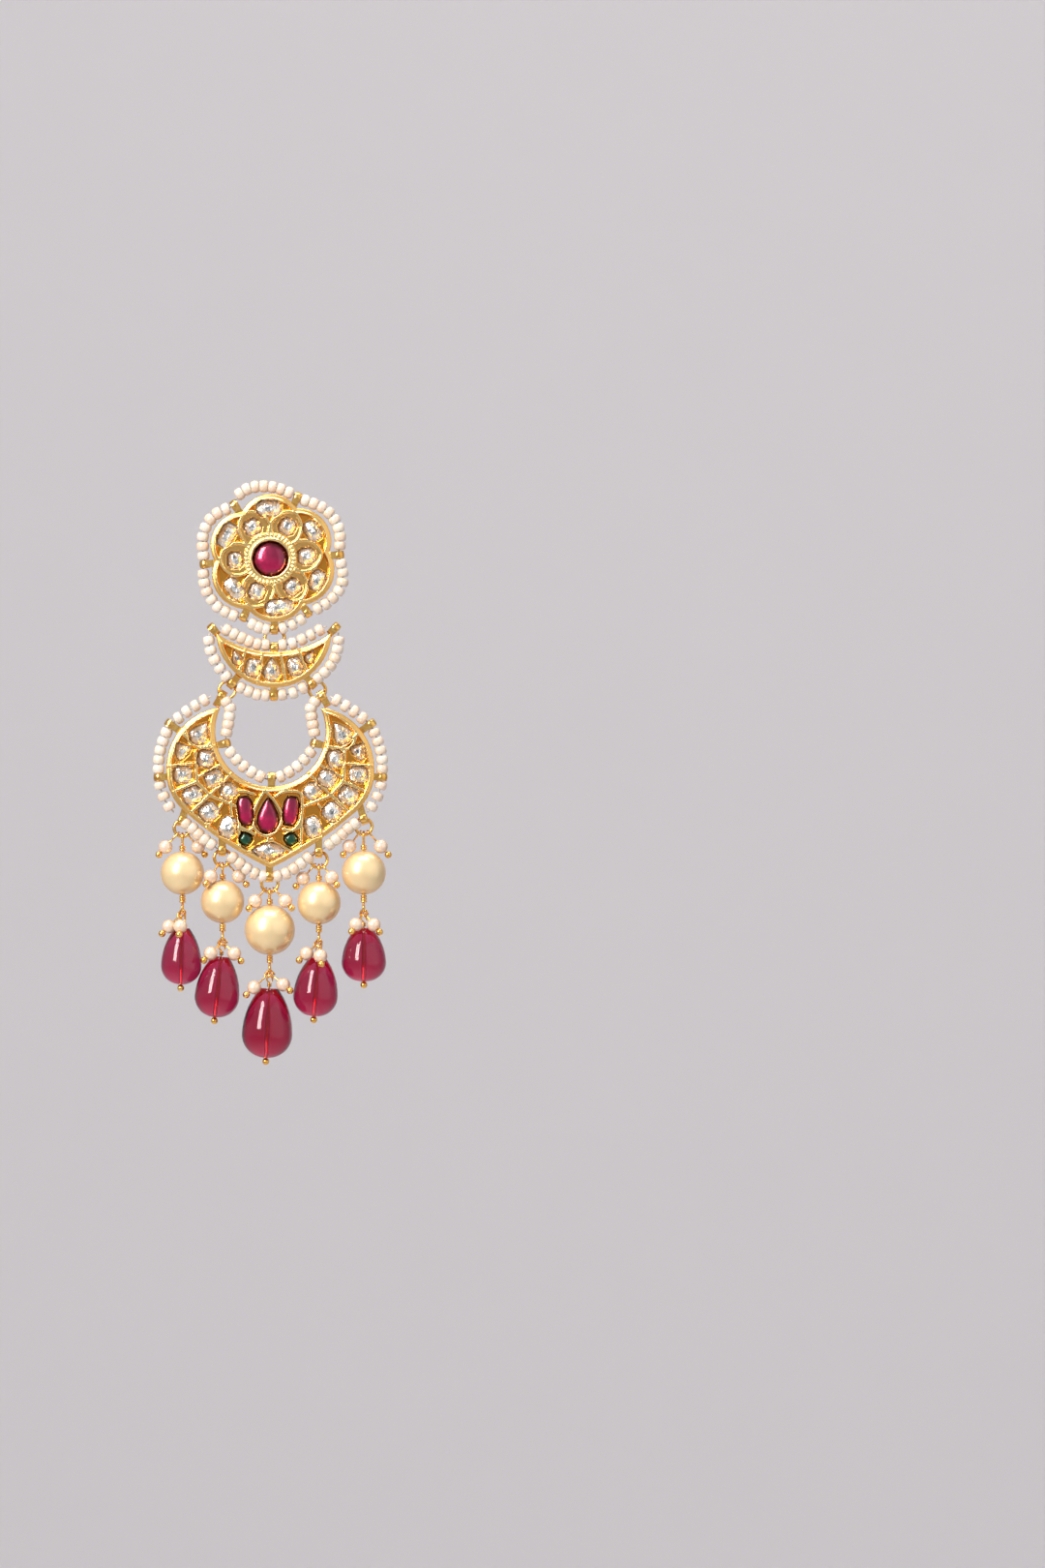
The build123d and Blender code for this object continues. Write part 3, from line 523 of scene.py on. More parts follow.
@dataclass(frozen=True)
class Nacre:
    """Pearl coat with a soft shine, faint growth clouds and a painted reflection that turns it
    deeper gold towards its outline.
    """

    name: str
    light: Colour
    deep: Colour
    rough: float = 0.3
    metallic: float = 0.25

    def make(self) -> bpy.types.Material:
        """Build the material.

        Returns:
            The material.
        """
        graph = Shader(self.name)
        point = graph.point()
        cloud = graph.noise(point, 0.45, 3.0)
        fine = graph.noise(point, 5.0, 2.0)
        # painted reflection: the colour turns deeper and more golden where the surface turns away
        # from the view
        facing = graph.value("ShaderNodeLayerWeight", "Facing", {"Blend": 0.35})
        share = facing.step(0.15, 0.95) * 0.85 + cloud * 0.15
        return graph.surface(
            Base_Color=graph.blend(share, self.light, self.deep),
            Metallic=self.metallic,
            Roughness=self.rough,
            Specular_IOR_Level=0.6,
            Subsurface_Weight=0.12,
            Subsurface_Scale=0.6 * MM,
            Coat_Weight=0.5,
            Coat_Roughness=0.12,
            Normal=graph.bump(fine, 0.006),
        )


@dataclass(frozen=True)
class SeedGlass:
    """Lustred opaque glass of small rocailles, each a little different."""

    name: str
    pale: Colour = (0.79, 0.69, 0.57)
    warm: Colour = (0.75, 0.56, 0.4)

    def make(self) -> bpy.types.Material:
        """Build the material.

        Returns:
            The material.
        """
        graph = Shader(self.name)
        point = graph.point()
        tone = graph.attribute("tone")
        cloud = graph.noise(point, 1.4, 2.0)
        share = tone * 0.5 + cloud * 0.45
        return graph.surface(
            Base_Color=graph.blend(share.step(0.2, 0.85), self.pale, self.warm),
            Roughness=0.2,
            Specular_IOR_Level=0.7,
            Subsurface_Weight=0.25,
            Subsurface_Scale=0.5 * MM,
            Coat_Weight=0.7,
            Coat_Roughness=0.1,
            Normal=graph.bump(cloud, 0.05),
        )


@dataclass(frozen=True)
class Cotton:
    """Twisted pale thread."""

    name: str
    colour: Colour = (0.78, 0.7, 0.6)

    def make(self) -> bpy.types.Material:
        """Build the material.

        Returns:
            The material.
        """
        graph = Shader(self.name)
        twist = graph.noise(graph.point((3, 3, 3)), 3.0, 2.0)
        return graph.surface(
            Base_Color=graph.blend(twist, self.colour, tuple(0.7 * c for c in self.colour)),
            Roughness=0.75,
            Normal=graph.bump(twist, 0.03),
        )


@dataclass(frozen=True)
class Paper:
    """Matte pale ground of the studio."""

    name: str
    colour: Colour

    def make(self) -> bpy.types.Material:
        """Build the material.

        Returns:
            The material.
        """
        graph = Shader(self.name)
        fibre = graph.noise(graph.point(), 0.02, 2.0)
        darker = tuple(0.98 * channel for channel in self.colour)
        return graph.surface(
            Base_Color=graph.blend(fibre, self.colour, darker),
            Roughness=0.9,
            Specular_IOR_Level=0.1,
        )


# ---------------------------------------------------------------- meshes


def add_mesh(
    name: str,
    points: np.ndarray,
    faces: Iterable[Sequence[int]],
    material: bpy.types.Material,
    smooth: bool = True,
) -> bpy.types.Object:
    """Make a mesh object from points in millimetres.

    Args:
        name: the object's name.
        points: its corners, one a row.
        faces: corner numbers of each face.
        material: its material.
        smooth: whether its faces are shaded smooth.

    Returns:
        The object, linked to the scene.
    """
    mesh = bpy.data.meshes.new(name)
    mesh.from_pydata((np.asarray(points, float) * MM).tolist(), [], [list(f) for f in faces])
    mesh.validate()
    mesh.polygons.foreach_set("use_smooth", [smooth] * len(mesh.polygons))
    mesh.materials.append(material)
    made = bpy.data.objects.new(name, mesh)
    bpy.context.scene.collection.objects.link(made)
    return made


def ring_faces(
    rows: int, count: int, base: int = 0, joined: bool = False, start: int = 0
) -> list[tuple[int, ...]]:
    """Faces between rings of corners that follow one another.

    Args:
        rows: number of rings.
        count: corners in each ring.
        base: number of the first corner.
        joined: whether the last ring meets the first.
        start: which corner each face begins with, because that sets how it is split.

    Returns:
        Corner numbers of each face.
    """
    faces = []
    for row in range(rows if joined else rows - 1):
        here, beyond = base + row * count, base + (row + 1) % rows * count
        for k in range(count):
            after = (k + 1) % count
            face = (here + k, beyond + k, beyond + after, here + after)
            faces.append(face[start:] + face[:start])
    return faces


def note_corners(piece: bpy.types.Object, notes: Mapping[str, Sequence[float]]) -> None:
    """Keep values of a mesh's corners as attributes that its finish reads.

    Args:
        piece: the object.
        notes: values of all corners, by the attribute's name.
    """
    for name, values in notes.items():
        note = piece.data.attributes.new(name, "FLOAT", "POINT")
        note.data.foreach_set("value", np.array(values, np.float32))


def dress(piece: bpy.types.Object, body: str, stands_for: Sequence[str] = ()) -> None:
    """Let a piece ride on its body and stand for its nodes.

    Args:
        piece: the piece.
        body: the body that it rides on.
        stands_for: nodes that it replaces.
    """
    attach(piece, body)
    if stands_for:
        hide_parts(*stands_for)
    LOG.info("%s: %d faces", piece.name, len(piece.data.polygons))


class Solids:
    """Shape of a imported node, read in millimetres."""

    def __init__(self, node: str) -> None:
        """Read a node and join the corners that lie at one place.

        Args:
            node: the node's name.
        """
        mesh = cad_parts[node].data
        corners = np.empty(len(mesh.vertices) * 3)
        mesh.vertices.foreach_get("co", corners)
        corners = corners.reshape(-1, 3) / MM
        _, first, joined = np.unique(
            np.round(corners, 3), axis=0, return_index=True, return_inverse=True
        )
        mesh.calc_loop_triangles()
        triangles = np.empty(len(mesh.loop_triangles) * 3, int)
        mesh.loop_triangles.foreach_get("vertices", triangles)
        self.points = corners[first]
        self.triangles = joined.reshape(-1)[triangles].reshape(-1, 3)

    def groups(self) -> list[np.ndarray]:
        """Points of each loose solid.

        Returns:
            One array of points a solid.
        """
        label = np.arange(len(self.points))
        while True:
            least = label[self.triangles].min(axis=1)
            fresh = label.copy()
            for corner in range(3):
                np.minimum.at(fresh, self.triangles[:, corner], least)
            fresh = fresh[fresh]
            if np.array_equal(fresh, label):
                break
            label = fresh
        return [self.points[label == number] for number in np.unique(label)]

    def outlines(self) -> list[np.ndarray]:
        """Closed outlines, in the front view, of the node's flat back.

        Returns:
            One array of points a loop.
        """
        flat = np.abs(self.points[:, 1]) < 1e-3
        back = self.triangles[flat[self.triangles].all(axis=1)]
        edges = np.concatenate([back[:, [0, 1]], back[:, [1, 2]], back[:, [2, 0]]])
        known = {(int(a), int(b)) for a, b in edges}
        follows = {a: b for a, b in known if (b, a) not in known}
        loops = []
        while follows:
            start, here = follows.popitem()
            loop = [start]
            while here != start:
                loop.append(here)
                here = follows.pop(here)
            loops.append(self.points[loop][:, [0, 2]])
        return loops


def hull(points: np.ndarray) -> np.ndarray:
    """Convex outline of points in the front view, counter-clockwise.

    Args:
        points: points in space.

    Returns:
        Corners of the outline.
    """
    flat = sorted({(round(float(x), 3), round(float(z), 3)) for x, _, z in points})
    chains = []
    for run in (flat, flat[::-1]):
        chain: list[Point] = []
        for here in run:
            while len(chain) > 1:
                (ax, az), (bx, bz) = chain[-2:]
                if (bx - ax) * (here[1] - az) - (bz - az) * (here[0] - ax) > 1e-6:
                    break
                chain.pop()
            chain.append(here)
        chains.append(chain[:-1])
    return np.array(chains[0] + chains[1])


def distance(points: np.ndarray, route: np.ndarray, closed: bool) -> np.ndarray:
    """Least distance from points to a line of straight runs.

    Args:
        points: points of the front view.
        route: corners of the line.
        closed: whether the last corner joins the first.

    Returns:
        The distance of each point.
    """
    starts = route if closed else route[:-1]
    ends = np.roll(route, -1, axis=0) if closed else route[1:]
    least = np.full(len(points), np.inf)
    for start, end in zip(starts, ends):
        run = end - start
        share = np.clip((points - start) @ run / max(float(run @ run), 1e-12), 0, 1)
        gap = points - start - share[:, None] * run
        np.minimum(least, np.einsum("ij,ij->i", gap, gap), out=least)
    return np.sqrt(least)


def inside(points: np.ndarray, loops: Sequence[np.ndarray]) -> np.ndarray:
    """Whether points lie within an odd number of loops.

    Args:
        points: points of the front view.
        loops: closed outlines.

    Returns:
        True for each point inside.
    """
    odd = np.zeros(len(points), bool)
    for loop in loops:
        for (ax, az), (bx, bz) in zip(loop, np.roll(loop, -1, axis=0)):
            crosses = (az > points[:, 1]) != (bz > points[:, 1])
            rise = bz - az if bz != az else 1e-12
            odd ^= crosses & (points[:, 0] < ax + (points[:, 1] - az) * (bx - ax) / rise)
    return odd


def arc(start: Point, through: Point, end: Point, steps: int = 12) -> list[Point]:
    """Points along the circle arc through three points.

    Args:
        start: first point.
        through: point on the way.
        end: last point.
        steps: number of runs.

    Returns:
        The points, both ends included.
    """
    first, middle, last = (complex(*spot) for spot in (start, through, end))
    ratio = (last - first) / (middle - first)
    centre = first + (middle - first) * (ratio - abs(ratio) ** 2) / (2j * ratio.imag)
    spoke = first - centre
    sweep = cmath.phase((last - centre) / spoke) % math.tau
    if cmath.phase((middle - centre) / spoke) % math.tau > sweep:
        sweep -= math.tau
    spots = [centre + spoke * cmath.exp(1j * sweep * step / steps) for step in range(steps + 1)]
    return [(spot.real, spot.imag) for spot in spots]


def polar(radius: float, angle: float) -> Point:
    """Point of the front view at a radius and an angle in degrees."""
    turn = math.radians(angle)
    return (radius * math.cos(turn), radius * math.sin(turn))


# ---------------------------------------------------------------- gold relief


@dataclass
class Ridge:
    """Raised wall of gold along a line of the front view."""

    route: Sequence[Point]
    half_width: float = 0.4
    height: float = 3.42
    fullness: float = 1.35
    roundness: float = 0.8

    def lift(self, points: np.ndarray, floor: float) -> np.ndarray:
        """Height of the wall at points.

        Args:
            points: points of the front view.
            floor: height that it stands on.

        Returns:
            The heights, the floor's where the wall doesn't reach.
        """
        route = np.array(self.route, float)
        low, high = route.min(axis=0) - self.half_width, route.max(axis=0) + self.half_width
        near = ((points > low) & (points < high)).all(axis=1)
        heights = np.full(len(points), floor)
        if near.any():
            gap = distance(points[near], route, False) / self.half_width
            profile = np.clip(self.fullness * (1 - gap**2), 0, 1) ** self.roundness
            heights[near] = floor + (self.height - floor) * profile
        return heights


@dataclass
class Terrace:
    """Part of a plate's front that stands higher than its floor."""

    outline: Sequence[Point]
    height: float


@dataclass
class Relief:
    """Gold front of one plate: rim, walls and the hollows round its stones.

    Heights are measured from the back face. A rim height goes with each distance
    inwards from the outline in rim_gaps.
    """

    name: str
    node: str
    body: str
    stones: Sequence[str]
    ridges: Sequence[Ridge] = ()
    terraces: Sequence[Terrace] = ()
    cell: float = 0.092
    floor: float = 2.56
    wall_foot: float = 2.36
    lip: float = 0.03
    seat: float = 0.04
    seat_height: float = 2.14
    hollow_run: float = 0.22
    wall_run: float = 0.08
    rim_start: float = 0.1
    rim_gaps: Sequence[float] = (-0.1, -0.03, 0.06, 0.56, 0.66, 0.8, 0.9, 1.08)
    rim_heights: Sequence[float] = (2.86, 3.0, 3.14, 3.33, 3.48, 3.5, 3.15, 2.5)
    extra: Callable[[np.ndarray, np.ndarray], np.ndarray] | None = None

    # farthest distance from a stone that is told apart, and the net's spare margin
    REACH = 2.0
    MARGIN = 0.3
    # a corner moves onto an edge that is nearer than this share of a cell, and a
    # cell stays while its middle is no farther outside than this share
    SNAP = 0.75
    STAY = 0.35
    # least squared slope by which a move is divided
    LEAST_SLOPE = 0.25
    # height and rise that the finish reads as 0 and 1, for its painted light and shade
    SHADE_LOW = 2.5
    SHADE_RISE = 0.9

    def __post_init__(self) -> None:
        """Read the outlines of the plate and of its stones."""
        self.loops = Solids(self.node).outlines()
        self.seats = [
            hull(group) for node in self.stones for group in Solids(node).groups()
        ]

    def edge_gap(self, points: np.ndarray) -> np.ndarray:
        """Distance of points inwards from the plate's outline, below 0 outside."""
        gap = np.min([distance(points, loop, True) for loop in self.loops], axis=0)
        return np.where(inside(points, self.loops), gap, -gap)

    def stone_gap(self, points: np.ndarray) -> np.ndarray:
        """Distance outwards from the nearest stone.

        Args:
            points: points of the front view.

        Returns:
            The distances, below 0 over a stone and at most REACH.
        """
        least = np.full(len(points), self.REACH)
        for seat in self.seats:
            low, high = seat.min(axis=0) - self.REACH, seat.max(axis=0) + self.REACH
            near = ((points > low) & (points < high)).all(axis=1)
            gap = distance(points[near], seat, True)
            gap = np.where(inside(points[near], [seat]), -gap, gap)
            least[near] = np.minimum(least[near], gap)
        return least

    def heights(self, points: np.ndarray, edge: np.ndarray, stone: np.ndarray) -> np.ndarray:
        """Height of the gold at points.

        Args:
            points: points of the front view.
            edge: their distance from the plate's outline.
            stone: their distance from the nearest stone.

        Returns:
            The heights.
        """
        base = np.full(len(points), self.floor)
        for terrace in self.terraces:
            within = inside(points, [np.array(terrace.outline)])
            base[within] = np.maximum(base[within], terrace.height)
        slope = np.clip((stone + self.seat) / (self.seat + self.hollow_run), 0, 1)
        heights = self.seat_height + (base - self.seat_height) * slope
        walls = np.full(len(points), self.wall_foot)
        for ridge in self.ridges:
            walls = np.maximum(walls, ridge.lift(points, self.wall_foot))
        if self.extra:
            walls = self.extra(points, walls)
        within = edge > self.rim_start
        rim = np.interp(edge, self.rim_gaps, self.rim_heights)
        walls = np.where(edge < self.rim_gaps[-1], np.maximum(walls * within, rim), walls)
        steep = np.clip((stone + self.seat) / (self.seat + self.wall_run), 0, 1)
        walls = self.seat_height + (walls - self.seat_height) * steep
        return np.where(within, np.maximum(heights, walls), walls)

    def net(self) -> tuple[np.ndarray, np.ndarray]:
        """Square net over the gold, drawn to its edges.

        Returns:
            Points of the front view, and corner numbers of each face.
        """
        every = np.concatenate(self.loops)
        low, high = every.min(axis=0) - self.MARGIN, every.max(axis=0) + self.MARGIN
        lines = [np.arange(a, b, self.cell) for a, b in zip(low, high)]
        grid = np.stack(np.meshgrid(*lines, indexing="ij"), axis=-1)
        points = grid.reshape(-1, 2)
        outside = np.maximum(
            -self.edge_gap(points) - self.lip, -self.stone_gap(points) - self.seat
        ).reshape(grid.shape[:2])
        slopes = np.stack(np.gradient(outside, self.cell), axis=-1)
        steep = np.maximum((slopes**2).sum(axis=-1, keepdims=True), self.LEAST_SLOPE)
        near = (np.abs(outside) < self.SNAP * self.cell)[..., None]
        moved = np.where(near, grid - outside[..., None] * slopes / steep, grid)
        kept = outside < self.SNAP * self.cell
        cells = kept[:-1, :-1] & kept[1:, :-1] & kept[1:, 1:] & kept[:-1, 1:]
        cells &= (outside[:-1, :-1] + outside[1:, 1:]) / 2 < self.STAY * self.cell
        used = np.zeros(kept.shape, bool)
        for rows in (slice(None, -1), slice(1, None)):
            for columns in (slice(None, -1), slice(1, None)):
                used[rows, columns] |= cells
        index = (np.cumsum(used) - 1).reshape(used.shape)
        i, j = np.nonzero(cells)
        faces = [index[i, j], index[i + 1, j], index[i + 1, j + 1], index[i, j + 1]]
        return moved[used], np.column_stack(faces)

    def build(self, material: bpy.types.Material) -> None:
        """Make the relief as one mesh.

        Args:
            material: its gold.
        """
        flat, faces = self.net()
        edge = self.edge_gap(flat)
        height = self.heights(flat, edge, self.stone_gap(flat))
        corners = np.column_stack([flat[:, 0], -height, flat[:, 1]])
        piece = add_mesh(self.name, corners, faces.tolist(), material)
        shade = (height - self.SHADE_LOW) / self.SHADE_RISE
        note_corners(piece, {"edge": edge, "height": shade})
        dress(piece, self.body)


def curved(route: Sequence[Point], steps: int = 8) -> list[Point]:
    """Smooth line through the corners of a route.

    Args:
        route: its corners.
        steps: runs between two corners.

    Returns:
        Points of the smooth line.
    """
    points = np.array(route, float)
    knots = np.vstack([2 * points[0] - points[1], points, 2 * points[-1] - points[-2]])
    line = []
    for k in range(1, len(knots) - 2):
        a, b, c, d = knots[k - 1 : k + 3]
        for t in np.arange(steps) / steps:
            bend = (2 * a - 5 * b + 4 * c - d) * t**2 + (3 * b - a - 3 * c + d) * t**3
            line.append(0.5 * (2 * b + (c - a) * t + bend))
    return [tuple(spot) for spot in (*line, points[-1])]


class FlowerRelief(Relief):
    """Front of the flower: six lobes, six petals and a notched bezel."""

    # angle and radius of each petal's tip, then radius and half angle of its
    # foot and of its widest part
    TIPS = ((117.5, 9.0), (62.5, 9.0), (5, 8.9), (-51, 8.8), (-111, 8.8), (181, 8.6))
    FOOT = (4.1, 29)
    BELLY = (7.3, 20)
    # outer radius, middle radius and half width of the smooth collar and of the rope
    COLLAR = (3.78, 3.4, 0.42)
    ROPE = (4.5, 4.12, 0.42)
    NOTCHES = 38

    def __init__(self) -> None:
        """Lay out the petals and their walls."""
        ridges, terraces = [], []
        for angle, radius in self.TIPS:
            outline = []
            for side in (-1, 1):
                foot = polar(self.FOOT[0], angle + side * self.FOOT[1])
                belly = polar(self.BELLY[0], angle + side * self.BELLY[1])
                run = arc(foot, belly, polar(radius, angle))
                ridges.append(Ridge(run, 0.36, 3.46))
                outline += run if side < 0 else run[::-1]
            terraces.append(Terrace(outline, 2.95))
        super().__init__(
            name="flower_relief",
            node="flower_plate",
            body="flower",
            stones=("flower_outer_stones", "flower_inner_stones", "flower_ruby"),
            ridges=ridges,
            terraces=terraces,
            cell=0.08,
            extra=self.bezel,
        )

    def bezel(self, points: np.ndarray, heights: np.ndarray) -> np.ndarray:
        """Raise the smooth collar and the notched ring round the ruby.

        Args:
            points: points of the front view.
            heights: heights so far.

        Returns:
            The heights with both rings.
        """
        radius = np.hypot(points[:, 0], points[:, 1])
        turn = np.arctan2(points[:, 1], points[:, 0])
        collar_end, collar_middle, collar_half = self.COLLAR
        rope_end, rope_middle, rope_half = self.ROPE
        collar = 3.5 * (1 - ((radius - collar_middle) / collar_half) ** 2 * 0.12)
        notch = 0.5 + 0.5 * np.cos(self.NOTCHES * turn)
        swell = np.clip(1 - ((radius - rope_middle) / rope_half) ** 2, 0, 1)
        heights = np.where(radius < rope_end, 3.22 + 0.22 * notch * swell, heights)
        return np.where(radius < collar_end, np.maximum(collar, 3.2), heights)


# ---------------------------------------------------------------- stones


@dataclass
class StoneSet:
    """Cut or domed stones in the places of one or more nodes."""

    name: str
    nodes: Sequence[str]
    body: str
    slot: Slot
    domed: bool = False
    rise: float = 0.0
    girdle: float = 0.75
    skirt: float = 0.6
    levels: Sequence[float] = (0.0, 0.22, 0.62, 1.0)
    spread: Sequence[float] = (1.0, 0.86, 0.6, 0.34)
    unevenness: float = 0.05
    dome_rings: int = 9
    dome_sides: int = 36
    dome_fullness: float = 0.9

    def rings(self) -> list[Point]:
        """Width and height of each ring of corners, as shares of the stone's own.

        Returns:
            The shares, from the girdle to the top.
        """
        if not self.domed:
            return list(zip(self.spread, self.levels))
        turns = [math.pi / 2 * step / self.dome_rings for step in range(self.dome_rings)]
        return [(math.cos(turn) ** self.dome_fullness, math.sin(turn)) for turn in turns]

    def stone(
        self, points: np.ndarray, chance: np.random.Generator
    ) -> tuple[list, list, list, list]:
        """Corners and faces of one stone.

        Args:
            points: the solid that it stands in.
            chance: source of its small irregularities.

        Returns:
            Corners, faces, and each corner's share of the way to the girdle and
            height across the stone, from -1 to 1.
        """
        outline = hull(points)
        if self.domed:
            outline = self.rounded(outline, self.dome_sides)
        centre = (outline.min(axis=0) + outline.max(axis=0)) / 2
        top = -points[:, 1].min() + self.rise
        girdle = -points[:, 1].max() + self.girdle + self.rise
        count, rings = len(outline), self.rings()
        corners = [(x, -(girdle - self.skirt), z) for x, z in outline]
        radial = [1.0] * count
        for number, (share, level) in enumerate(rings):
            cut = number > 0 and not self.domed
            odd = number % 2 and not self.domed
            placed = (outline + np.roll(outline, -1, axis=0)) / 2 if odd else outline
            loose = self.unevenness * share * cut
            for spot in placed:
                wander = 1 + chance.uniform(-loose, loose)
                x, z = centre + (spot - centre) * share * wander
                corners.append((x, -(girdle + (top - girdle) * level), z))
                radial.append(share)
        faces = ring_faces(len(rings) + 1, count, start=3)
        last = len(corners) - count
        if self.domed:
            corners.append((centre[0], -top, centre[1]))
            radial.append(0.0)
            faces += [(last + (k + 1) % count, last + k, last + count) for k in range(count)]
        else:
            faces.append([last + k for k in range(count)][::-1])
        half = np.ptp(outline[:, 1]) / 2
        lift = [(z - centre[1]) / half for _, _, z in corners]
        return corners, faces, radial, lift

    @staticmethod
    def rounded(outline: np.ndarray, count: int) -> np.ndarray:
        """Round an outline's corners and space its points evenly.

        Args:
            outline: corners of a convex outline.
            count: number of points wanted.

        Returns:
            The points.
        """
        for _ in range(2):
            after = np.roll(outline, -1, axis=0)
            halves = [outline * 0.75 + after * 0.25, outline * 0.25 + after * 0.75]
            outline = np.stack(halves, axis=1).reshape(-1, 2)
        ring = np.vstack([outline, outline[:1]])
        along = np.concatenate([[0], np.cumsum(np.hypot(*np.diff(ring, axis=0).T))])
        wanted = np.linspace(0, along[-1], count, endpoint=False)
        return np.column_stack([np.interp(wanted, along, ring[:, axis]) for axis in (0, 1)])

    def build(self, material: bpy.types.Material) -> None:
        """Make all the stones as one mesh.

        Args:
            material: their finish.
        """
        chance = np.random.default_rng(SEED + len(self.name))
        corners: list = []
        faces: list = []
        notes: dict[str, list] = {"radial": [], "lift": []}
        for node in self.nodes:
            for group in Solids(node).groups():
                more, cuts, radial, lift = self.stone(group, chance)
                faces += [[k + len(corners) for k in face] for face in cuts]
                corners += more
                notes["radial"] += radial
                notes["lift"] += lift
        piece = add_mesh(self.name, np.array(corners), faces, material, smooth=self.domed)
        note_corners(piece, notes)
        dress(piece, self.body, self.nodes)


# ---------------------------------------------------------------- seed beads


class BeadTree:
    """Geometry Nodes tree that strings beads evenly along lines."""

    INPUTS = {
        "Line": "Geometry", "Pitch": "Float", "Bead": "Object", "Finish": "Material", "Seed": "Int",
    }
    # least and greatest size of a bead, across and along its string
    LEAST = (0.96, 0.96, 0.9)
    GREATEST = (1.03, 1.03, 1.04)

    def __init__(self) -> None:
        """Build the tree."""
        self.tree = bpy.data.node_groups.new("bead_string", "GeometryNodeTree")
        face = self.tree.interface
        for name, kind in self.INPUTS.items():
            face.new_socket(name, in_out="INPUT", socket_type="NodeSocket" + kind)
        face.new_socket("Beads", in_out="OUTPUT", socket_type="NodeSocketGeometry")
        graph = Graph(self.tree)
        entry = graph.add("NodeGroupInput")
        line, pitch, bead, finish, seed = (
            Signal(graph, entry.outputs[name]) for name in self.INPUTS
        )
        gaps = graph.value("GeometryNodeSplineLength", "Length") / pitch
        count = graph.value("ShaderNodeMath", 0, {0: gaps}, operation="ROUND") + 1
        curve = graph.value("GeometryNodeMeshToCurve", "Curve", {"Mesh": line})
        spots = graph.value(
            "GeometryNodeResampleCurve", "Curve", {"Curve": curve, "Count": count}, mode="COUNT"
        )
        spin, tone = (
            graph.value("FunctionNodeRandomValue", 1, {3: most, "Seed": seed}, data_type="FLOAT")
            for most in (math.tau, 1.0)
        )
        size = graph.value(
            "FunctionNodeRandomValue", 0, {0: self.LEAST, 1: self.GREATEST, "Seed": seed},
            data_type="FLOAT_VECTOR",
        )
        tangent = graph.value("GeometryNodeInputTangent", "Tangent")
        along = graph.value(
            "FunctionNodeAlignRotationToVector", "Rotation", {"Vector": tangent}, axis="Z"
        )
        about = graph.value(
            "FunctionNodeAxisAngleToRotation", "Rotation", {"Axis": (0, 0, 1), "Angle": spin}
        )
        turned = graph.value(
            "FunctionNodeRotateRotation", "Rotation", {"Rotation": along, "Rotate By": about},
            rotation_space="LOCAL",
        )
        shape = graph.value("GeometryNodeObjectInfo", "Geometry", {"Object": bead})
        placed = graph.value(
            "GeometryNodeInstanceOnPoints", "Instances",
            {"Points": spots, "Instance": shape, "Rotation": turned, "Scale": size},
        )
        toned = graph.value(
            "GeometryNodeStoreNamedAttribute", "Geometry",
            {"Geometry": placed, "Name": "tone", "Value": tone},
            data_type="FLOAT", domain="INSTANCE",
        )
        real = graph.value("GeometryNodeRealizeInstances", "Geometry", {"Geometry": toned})
        finished = graph.value(
            "GeometryNodeSetMaterial", "Geometry", {"Geometry": real, "Material": finish}
        )
        graph.add("NodeGroupOutput", {"Beads": finished})

    def identifier(self, name: str) -> str:
        """Identifier of a named input."""
        return next(
            item.identifier
            for item in self.tree.interface.items_tree
            if item.name == name and item.in_out == "INPUT"
        )


@dataclass
class SeedBead:
    """Rounded drilled bead, strung along its Z axis."""

    radius: float = 1.08
    length: float = 1.52
    hole: float = 0.36
    sides: int = 16
    steps: int = 10
    squareness: float = 0.92

    def build(self, material: bpy.types.Material) -> bpy.types.Object:
        """Make one bead.

        Args:
            material: its finish.

        Returns:
            The bead, not part of the earring by itself.
        """
        wall = (self.radius - self.hole) / 2
        profile = []
        for step in range(self.steps):
            turn = math.tau * step / self.steps
            out, up = math.cos(turn), math.sin(turn)
            rise = math.copysign(abs(up) ** self.squareness, up)
            profile.append((self.hole + wall + wall * out, self.length / 2 * rise))
        turns = [math.tau * k / self.sides for k in range(self.sides)]
        corners = [(r * math.cos(t), r * math.sin(t), z) for t in turns for r, z in profile]
        faces = ring_faces(self.sides, self.steps, joined=True)
        return add_mesh("seed_bead_shape", np.array(corners), faces, material)


